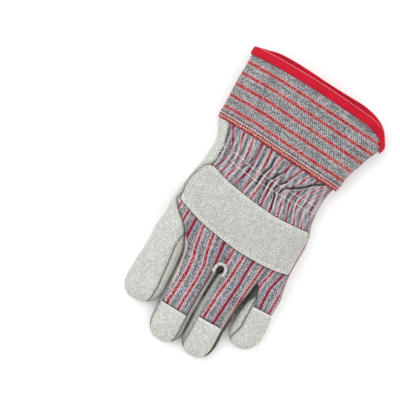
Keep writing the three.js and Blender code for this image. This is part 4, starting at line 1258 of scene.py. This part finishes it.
def build_leather(name, skin, seed, wall):
    """One leather piece of the hand: the sewn surface, sunk at its seams, swollen beside them and
    faintly uneven, with a wall. A fingertip is sewn over the cloth, so it stands off it there."""
    ids, triangles = skin.piece(name)
    points, normals = skin.points[ids], skin.normals[ids]
    x, y, z = points.T
    far = skin.from_seam(ids, name)
    height = seam_height(far)
    cut = np.zeros(len(ids))
    if name.startswith("tip_"):
        leather_far = skin.from_seam(ids, name, [n for n in skin.names if n != "back_cloth"])
        cloth_far = skin.from_seam(ids, name, ["back_cloth"])
        lap = 1 - hump(leather_far, 1.6)
        row = 0.3 * hump(cloth_far - 2.4, 0.8)
        height = seam_height(leather_far) + lap * (TIP_LAP - row)
        cut = np.exp(-cloth_far / 0.7) * lap
        far = leather_far
    if name == "palm":
        # The strap's end is sewn to this leather on the back, and not to the palm under it
        far = np.minimum(far, path_distance(x, y, STRAP_END) + FAR * (z < 10))
        height = seam_height(far)
    calm = 1 - hump(far, 5)
    uneven = 0.4 * waves(points, 20, seed) + 0.12 * waves(points, 6, seed + 50)
    # From here on far only says where painted shade lies
    if name == "fourchette_ring_middle":
        # Its seam on the ring finger's side gets no painted shade past the crotch
        far = far + UNSHADED_SEAM * (x < 0) * smoothstep(y, 58, 64)
    # Painted shade down the gaps between the fingers, darkest at their deepest line
    if name in FORKS:
        far = np.minimum(far, GAP_SHADE[name] * np.abs(z - read(SIDE_LINE, "z", y)))
    # Painted shade across the gap between the ring and little fingers
    if name == "fourchette_little_ring":
        far = np.minimum(far, GAP_EDGE_SHADE * np.maximum(read(GAP_EDGE, "x", y) - x, 0))
    if name == "fourchette_ring_middle":
        hole = np.hypot(x - HOLE[0], y - HOLE[1])
        # Painted shade in the crotch hole, which is also sunk
        far = np.minimum(far, np.maximum(hole - HOLE_RADIUS, 0))
        height = height - HOLE_DEPTH * hump(hole, HOLE_RADIUS) * (normals[:, 2] > 0)
    points = points + normals * (height + calm * uneven)[:, None]
    return add_wall(f"{name}_leather", points, normals, triangles, wall, {"seam": far, "cut": cut})


def build_back_cloth(skin, wall):
    """The striped back: the gathered surface, sunk where it is sewn to the leather. Its weave map
    runs across by the stripes and along by the hand."""
    name = "back_cloth"
    ids, triangles = skin.piece(name)
    points, normals = skin.points[ids], skin.normals[ids]
    x, y, _ = points.T
    far = skin.from_seam(ids, name)
    number = stripe_number(points)
    weave = np.stack([number * STRIPE_PITCH, y], -1)
    shaped = points + normals * seam_height(far)[:, None]
    # Painted shade in the folds' crevices and painted highlight on their lips
    crevice_shade, lip_highlight = painted_pleat_light(x, y)
    # A pale selvage 5 mm wide runs along the middle finger's outer seam, up to its leather tip
    beside = skin.from_seam(ids, name, ["fourchette_middle_index"])
    selvage = smoothstep(-beside, -5.6, -4) * smoothstep(y, 44, 52) * smoothstep(-y, -98, -84)
    for fork, side, width, strength in RING_SELVAGES:
        beside = skin.from_seam(ids, name, [fork]) + FAR * (np.abs(x - side) > 8)
        line = 1 - smoothstep(beside, width - 0.6, width + 0.6)
        selvage = np.maximum(selvage, strength * line * smoothstep(y, 58, 66))
        # Along these pale edges the seam gets no painted shade
        far = far + UNSHADED_SEAM * line
    # Painted shadow lies on the cloth along the strap's two edges
    low, high = (read(STRAP, key, x, "x") for key in ("low", "high"))
    far = np.minimum(far, 0.9 * np.abs(np.maximum(y - high, low - y)))
    values = {"seam": far, "stripe": number, "selvage": selvage, "crevice_shade": crevice_shade, "lip_highlight": lip_highlight}
    return add_wall("back_cloth_fabric", shaped, normals, triangles, wall, values, weave)


def build_thumb(name, skin, seed, wall):
    """One half of the folded thumb, sunk at the seam round its outline."""
    ids, triangles = skin.piece(name)
    points, normals = skin.points[ids], skin.normals[ids]
    far = skin.from_seam(ids, name)
    calm = 1 - hump(far, 6)
    height = np.minimum(seam_height(far), 0.3) + 0.25 * calm * waves(points, 18, seed)
    points = points + normals * height[:, None]
    # Painted shade lies along the seam round its outline
    return add_wall(f"{name}_leather", points, normals, triangles, wall, {"seam": far})


def build_strap(wall):
    """The knuckle strap: a band of leather sewn down along both edges, swollen between them."""
    first, last = STRAP["x"][[0, -1]]
    x = first + 0.6 + (last - first - 1) * (0.5 - 0.5 * np.cos(np.pi * spread(STRAP_COLUMNS)))
    grid = strap_point(x, spread(STRAP_ROWS)[:, None])
    skin = Skin()
    skin.add("knuckle_strap", grid)
    skin.sew()
    edge = skin.points[np.unique(rim_of(skin.triangles, len(skin.points)))]
    far = distance(skin.points, edge)
    uneven = 0.25 * waves(skin.points, 24, 5) + 0.07 * waves(skin.points, 5, 6)
    points = skin.points + skin.normals * (uneven * (1 - hump(far, 6)))[:, None]
    end = path_distance(points[:, 0], points[:, 1], STRAP_END)
    points = points - skin.normals * (0.9 * hump(end, 1.6))[:, None]
    # Painted shade lies along the strap's sewn end
    values = {"seam": end, "cut": np.exp(-far / 0.8) * smoothstep(end, 1, 3)}
    return add_wall("knuckle_strap_leather", points, skin.normals, skin.triangles, wall, values)


def build_welt(name, path):
    """A rolled welt of leather along a path."""
    skin = Skin()
    skin.add(name, tube(path, (0, 0, 1), WELT_HALF_WIDTH, 0.8 * WELT_HALF_WIDTH)[:, ::-1])
    skin.sew()
    values = {"seam": np.full(len(skin.points), FAR)}
    return add_mesh(f"{name}_leather", skin.points, skin.triangles, values=values)


def build_cuff():
    """The flared cuff of striped cloth: a flattened tube, lapped over the hand at its seam, sunk
    along its two rows of stitches and faintly buckled."""
    turn = 2 * np.pi * spread(CUFF_COLUMNS)
    skin = Skin()
    skin.add("cuff", cuff_point(turn, spread(CUFF_ROWS)[:, None]))
    skin.sew()
    points = skin.points
    x, y, z = points.T
    left, right = read(CUFF, "left", y), read(CUFF, "right", y)
    share = np.clip(2 * (x - left) / (right - left) - 1, -1, 1)
    down = np.interp((share + 1) * 2, range(5), CUFF_ROW) - CUFF_GAP - y
    cosine = np.sign(share) * np.abs(share) ** (CUFF_POWER / 2)
    upper = np.where(z > read(CUFF, "side", y), 1, -1)
    angle = np.arctan2(upper * np.sqrt(1 - cosine**2), cosine) % (2 * np.pi)
    run = path_lengths(cuff_point(turn, 0.5))
    weave = np.stack([np.interp(angle, turn, run), down], -1)
    lap = CUFF_LAP * (1 - smoothstep(down, 5, 12))
    rows = sum(0.35 * hump(down - row, 0.8) for row in PALE_HEM_ROWS)
    buckle = 0.5 * waves(points, 38, 8) * smoothstep(down, 8, 30) + 0.1 * waves(points, 9, 9)
    buckle = np.where(z < 3, np.maximum(buckle, 0), buckle)
    shaped = points + skin.normals * (lap - rows + buckle)[:, None]
    shaped[:, 2] = np.maximum(shaped[:, 2], CUFF_FLOOR)
    middle, end = HEM_STRIPE
    number = np.where(down < end, 0.6 * (down - middle), down) / CUFF_STRIPE_PITCH
    values = {"seam": np.full(len(points), FAR), "stripe": number}
    parts = shaped, skin.normals, skin.triangles, CUFF_WALL
    return add_wall("cuff_fabric", *parts, values, weave, run[-1])


def build_binding():
    """The red binding: a strip folded round the cuff's edge. Its section, given by how far it
    reaches past the edge and how far off the wall it lies, runs up the outside, round the fold by
    a half ellipse, down the inside and back along its own inner face."""
    outer, inner = LAYER_GAP + BINDING_WALL, -CUFF_WALL - LAYER_GAP
    reach = np.linspace(-BINDING_WIDTH, 0.4, 12)
    turn = np.pi * spread(12)[1:-1]
    middle, half = (outer + inner - BINDING_WALL) / 2, (outer - inner + BINDING_WALL) / 2
    swell = 0.45 * np.sin(np.pi * np.clip((reach + BINDING_WIDTH) / (BINDING_WIDTH + 0.4), 0, 1)) ** 0.7
    outside = np.stack([reach, outer + swell - 0.1], -1)
    fold = np.stack([0.4 + 1.1 * np.sin(turn), middle + (half - 0.1) * np.cos(turn)], -1)
    inside = np.stack([reach[::-1], inner - BINDING_WALL - 0.6 * swell], -1)
    fars = (-BINDING_WIDTH, -4, LAYER_GAP)
    hidden = [(far, inner) for far in fars] + [(far, LAYER_GAP) for far in fars[::-1]]
    section = np.concatenate([outside, fold, inside, hidden])
    angle = 2 * np.pi * spread(BINDING_COLUMNS)[:-1]
    edge, top = cuff_point(angle, 1), cuff_point(angle, 0)
    out = unit(edge - cuff_point(angle, 0.97))
    length = np.linalg.norm(edge - top, axis=-1)
    t = 1 + np.minimum(section[:, 0], 0) / length[:, None]
    points = cuff_point(angle[:, None], t) + out[:, None] * np.maximum(section[:, 0], 0)[:, None]
    off = section[:, 1] * np.ones_like(t)
    points = points + cuff_normal(angle[:, None], np.minimum(t, 0.998)) * off[..., None]
    points = np.maximum(points, LOWEST)
    rows, columns = points.shape[:2]
    ids = np.arange(rows * columns).reshape(rows, columns)
    beyond = np.roll(ids, -1, axis=0)
    triangles = squares(ids, beyond, np.roll(beyond, -1, axis=1), np.roll(ids, -1, axis=1))
    face = np.full(len(outside) - 1, 0.05)
    fold = np.concatenate([[0], face, mix(0.05, 1, spread(10)), np.ones(len(inside) + len(hidden))])
    values = {"fold": np.tile(fold, rows)}
    return add_mesh("cuff_binding_tape", points.reshape(-1, 3), triangles, values=values)


def on_surface(surface, u, v, step_u, step_v):
    """A path on a surface of two parameters, with the surface's outward direction along it: the
    cross product of its two directions."""
    path = surface(u, v)
    across = surface(u + step_u, v) - surface(u - step_u, v)
    along = surface(u, v + step_v) - surface(u, v - step_v)
    return path, unit(np.cross(across, along))


def strap_row(from_low, inset):
    """A row of stitches along one edge of the strap."""
    x = np.linspace(*STRAP_ROW_ENDS, STRAP_PATH_STEPS)
    share = inset / (read(STRAP, "high", x, "x") - read(STRAP, "low", x, "x"))
    return on_surface(strap_point, x, share if from_low else 1 - share, 0.5, 0.02)


def white_rows():
    """The paths of the white stitches: both edges of the strap, the fingertips' edges and the
    index finger's seam."""
    rows = [strap_row(True, STRAP_STITCH_INSET), strap_row(False, STRAP_STITCH_INSET)]
    # The fingertips' rows lie on the leather, just past its edge
    for strip in range(3):
        v, dome, tip_row, _ = finger_rows(strip)
        left, right = side_seams(strip, v, dome)
        q = np.linspace(0.08 - left[tip_row, 0], right[tip_row, 0] - 0.08, 60)
        path, up = on_surface(lambda q, v: body_point(strip, q, v, 1), q, v[tip_row] + 0.12, 0.01, 0.01)
        rows.append((path + up * (TIP_LAP - 0.1), up))
    # The index finger's row slants up and across its back
    q = np.linspace(0.35, -0.45, 80)
    v = np.interp(q, (-0.45, -0.3, 0.35), (2.95, 2.85, 2.18))
    path, up = on_surface(lambda q, v: body_point(3, q, v, 1), q, v, 0.01, 0.01)
    rows.append((path + up * 0.35, up))
    return rows


def elastic_paths():
    """The two rows of zigzag stitches that hold the wrist elastic."""
    x = np.linspace(*ELASTIC_ENDS, ELASTIC_PATH_STEPS)
    return [on_surface(hand_point, x, row, 0.3, 0.3) for row in elastic_rows(x)]


def cuff_rows(down):
    """A row of stitches round the cuff, a distance from the hand's seam."""
    angle = 2 * np.pi * spread(CUFF_PATH_STEPS)
    length = np.linalg.norm(cuff_point(angle, 1) - cuff_point(angle, 0), axis=-1)
    path, up = on_surface(cuff_point, angle, down / length, 0.01, 0.005)
    return path + up * (CUFF_LAP - 0.3), up


def length_setting(name, description, millimetres):
    """A length that a user can change."""
    size = dict(default=millimetres * MM, min=0.1 * MM, unit="LENGTH", precision=5)
    return FloatProperty(name=name, description=description, **size)


def colour_setting(name, description, value):
    """A colour that a user can change."""
    colour = dict(default=linear(value), size=4, subtype="COLOR", min=0, max=1)
    return FloatVectorProperty(name=name, description=description, **colour)


class GLOVE_PG_settings(bpy.types.PropertyGroup):
    """Sizes and colours that a user would change"""

    leather_wall: length_setting("Leather", "Thickness of the leather", 1.2)
    cloth_wall: length_setting("Cloth", "Thickness of the cloth of the back", 1.0)
    stitch_length: length_setting("Stitch length", "Length of one stitch", 2.4)
    thread_radius: length_setting("Thread radius", "Half the thread's thickness", 0.36)
    leather: colour_setting("Leather", "The hand's split leather", "#BBBDB5")
    strap: colour_setting("Strap leather", "The knuckle strap, cut from a greyer hide", "#B1B3AB")
    cloth: colour_setting("Cloth", "Ground of the striped back", "#6B6A75")
    stripe: colour_setting("Stripe", "Stripes of the back", "#921A2B")
    cuff: colour_setting("Cuff", "Ground of the cuff", "#6E6C70")
    cuff_stripe: colour_setting("Cuff stripe", "Stripes of the cuff", "#A02A2B")
    binding: colour_setting("Binding", "The tape round the cuff's edge", "#BC152C")
    thread: colour_setting("Thread", "The pale stitches", "#F2F0EA")
    pink_thread: colour_setting("Pink thread", "The pale stitches of the cuff", "#F0C8BC")
    dark_thread: colour_setting("Dark thread", "The dark stitches of the cuff", "#5A1C28")


class GLOVE_OT_back_cloth(bpy.types.Operator):
    """Make the striped cloth back"""

    bl_idname = "glove.back_cloth"
    bl_label = "Back Cloth"

    def execute(self, context):
        sizes = context.scene.glove
        made = build_back_cloth(hand_skin(), sizes.cloth_wall / MM)
        give(made, "striped cotton ticking", "back_cloth")
        return {"FINISHED"}


class GLOVE_OT_leather(bpy.types.Operator):
    """Make the leather of the hand: palm, finger palms, strips between the fingers and fingertips"""

    bl_idname = "glove.leather"
    bl_label = "Palm and Fingers"

    def execute(self, context):
        sizes, skin = context.scene.glove, hand_skin()
        for seed, name in enumerate(name for name in skin.names if name != "back_cloth"):
            made = build_leather(name, skin, seed + 1, sizes.leather_wall / MM)
            give(made, "split suede", name)
        return {"FINISHED"}


class GLOVE_OT_thumb(bpy.types.Operator):
    """Make the two halves of the folded thumb"""

    bl_idname = "glove.thumb"
    bl_label = "Thumb"

    def execute(self, context):
        sizes, skin = context.scene.glove, thumb_skin()
        for seed, name in enumerate(skin.names):
            made = build_thumb(name, skin, seed + 31, sizes.leather_wall / MM)
            give(made, "split suede", name)
        return {"FINISHED"}


class GLOVE_OT_strap(bpy.types.Operator):
    """Make the knuckle strap"""

    bl_idname = "glove.strap"
    bl_label = "Knuckle Strap"

    def execute(self, context):
        sizes = context.scene.glove
        made = build_strap(sizes.leather_wall / MM)
        give(made, "grey split suede", "knuckle_strap")
        return {"FINISHED"}


class GLOVE_OT_welts(bpy.types.Operator):
    """Make the rolled welts at the finger crotch and across the palm"""

    bl_idname = "glove.welts"
    bl_label = "Welts"

    def execute(self, context):
        line = smooth_line(CROTCH_WELT, 60)
        path = hand_point(line[:, 0], np.minimum(line[:, 1], HAND_END - 1))
        path[:, :2] = line
        path[:, 2] += WELT_HALF_WIDTH + WELT_LIFT
        give(build_welt("crotch_welt", path), "split suede", "crotch_welt")
        line = smooth_line(PALM_WELT, 140)
        path = hand_point(line[:, 0], line[:, 1], -1)
        path[:, 2] -= WELT_HALF_WIDTH + 2 * LAYER_GAP
        give(build_welt("palm_welt", path), "split suede", "palm_welt")
        return {"FINISHED"}


class GLOVE_OT_cuff(bpy.types.Operator):
    """Make the flared cuff"""

    bl_idname = "glove.cuff"
    bl_label = "Cuff"

    def execute(self, context):
        made = build_cuff()
        give(made, "striped cuff drill", "cuff")
        return {"FINISHED"}


class GLOVE_OT_binding(bpy.types.Operator):
    """Make the cuff's red binding"""

    bl_idname = "glove.binding"
    bl_label = "Binding"

    def execute(self, context):
        give(build_binding(), "red bias tape", "cuff_binding")
        return {"FINISHED"}


class GLOVE_OT_stitching(bpy.types.Operator):
    """Make the rows of stitches"""

    bl_idname = "glove.stitching"
    bl_label = "Stitching"

    def execute(self, context):
        sizes = context.scene.glove
        long, thick = sizes.stitch_length / MM, sizes.thread_radius / MM
        pale, dark = ([cuff_rows(down) for down in rows] for rows in (PALE_HEM_ROWS, DARK_HEM_ROWS))
        # Each kind of row: its paths, a stitch's length, gap and thickness as shares, and its zigzag
        for name, cotton, paths, bar, gap, radius, zigzag in (
            ("white_stitches", "white", white_rows(), 1, 0.5, 1, 0.0),
            ("elastic_stitches", "white", elastic_paths(), 1, -0.2, 0.8, 0.6),
            ("cuff_stitches", "pink", pale, 0.8, 0.3, 1.2, 0.0),
            ("cuff_stitches_dark", "maroon", dark, 1, 0.15, 1.1, 0.0),
        ):
            made = add_mesh(name, *thread(paths, bar * long, gap * long, radius * thick, zigzag))
            give(made, f"{cotton} cotton thread")
        return {"FINISHED"}


def soft_light(name, place, size, power):
    """A square panel of white light, whose -Z axis points at the glove's middle."""
    data = bpy.data.lights.new(name, "AREA")
    data.size = size
    data.energy = power
    made = bpy.data.objects.new(name, data)
    bpy.context.scene.collection.objects.link(made)
    made.location = place
    made.rotation_euler = (Vector(LIT) - made.location).to_track_quat("-Z", "Y").to_euler()


class GLOVE_OT_stage(bpy.types.Operator):
    """Make the pale floor, the soft lights and the camera"""

    bl_idname = "glove.stage"
    bl_label = "Stage"

    def execute(self, context):
        floor_mesh = bpy.data.meshes.new("floor")
        r = FLOOR_SIZE / 2
        floor_mesh.from_pydata([(-r, -r, 0), (r, -r, 0), (r, r, 0), (-r, r, 0)], [], [(0, 1, 2, 3)])
        floor = bpy.data.objects.new("floor", floor_mesh)
        context.scene.collection.objects.link(floor)
        paper = {"Base Color": linear("#FFFFFF"), "Roughness": 0.9}
        floor_mesh.materials.append(surface(new_material("white backdrop paper"), paper))
        context.scene.view_settings.view_transform = "Standard"
        world = bpy.data.worlds.new("studio")
        context.scene.world = world
        world.use_nodes = True
        background = next(n for n in world.node_tree.nodes if n.type == "BACKGROUND")
        background.inputs["Color"].default_value = (1.0, 1.0, 1.0, 1.0)
        background.inputs["Strength"].default_value = SKY_STRENGTH
        for name, (right, up, height, size, power) in LIGHTS.items():
            soft_light(name, CAMERA_RIGHT * right + CAMERA_UP * up + (0, 0, height), size, power)
        data = bpy.data.cameras.new("camera")
        data.lens = CAMERA_LENS
        data.sensor_width = 36
        camera = bpy.data.objects.new("camera", data)
        context.scene.collection.objects.link(camera)
        height = PICTURE_WIDTH * MM * data.lens / data.sensor_width
        axes = np.stack([CAMERA_RIGHT, CAMERA_UP, np.array([0, 0, 1.0])], 1)
        place = Matrix.Translation((*PICTURE_MIDDLE, height + LIT[2]))
        camera.matrix_world = place @ Matrix(axes.tolist()).to_4x4()
        data.clip_start, data.clip_end = 0.1, 50
        context.scene.camera = camera
        return {"FINISHED"}


class GLOVE_PT_panel(bpy.types.Panel):
    """Sizes and steps of the glove"""

    bl_label = "Work Glove"
    bl_idname = "GLOVE_PT_panel"
    bl_space_type = "VIEW_3D"
    bl_region_type = "UI"
    bl_category = "Glove"

    def draw(self, context):
        for key in GLOVE_PG_settings.__annotations__:
            self.layout.prop(context.scene.glove, key)
        for operator in OPERATORS:
            self.layout.operator(operator.bl_idname)


OPERATORS = (
    GLOVE_OT_stage,
    GLOVE_OT_back_cloth,
    GLOVE_OT_leather,
    GLOVE_OT_thumb,
    GLOVE_OT_strap,
    GLOVE_OT_welts,
    GLOVE_OT_cuff,
    GLOVE_OT_binding,
    GLOVE_OT_stitching,
)
CLASSES = (GLOVE_PG_settings, *OPERATORS, GLOVE_PT_panel)


def register():
    """Adds the settings, the operators and the panel."""
    for each in CLASSES:
        bpy.utils.register_class(each)
    bpy.types.Scene.glove = PointerProperty(type=GLOVE_PG_settings)


def unregister():
    """Takes them away again."""
    del bpy.types.Scene.glove
    for each in reversed(CLASSES):
        bpy.utils.unregister_class(each)


def main():
    """Makes every piece and the stage."""
    register()
    for operator in OPERATORS:
        group, action = operator.bl_idname.split(".")
        getattr(getattr(bpy.ops, group), action)()
    bpy.context.view_layer.update()


if __name__ == "__main__":
    main()
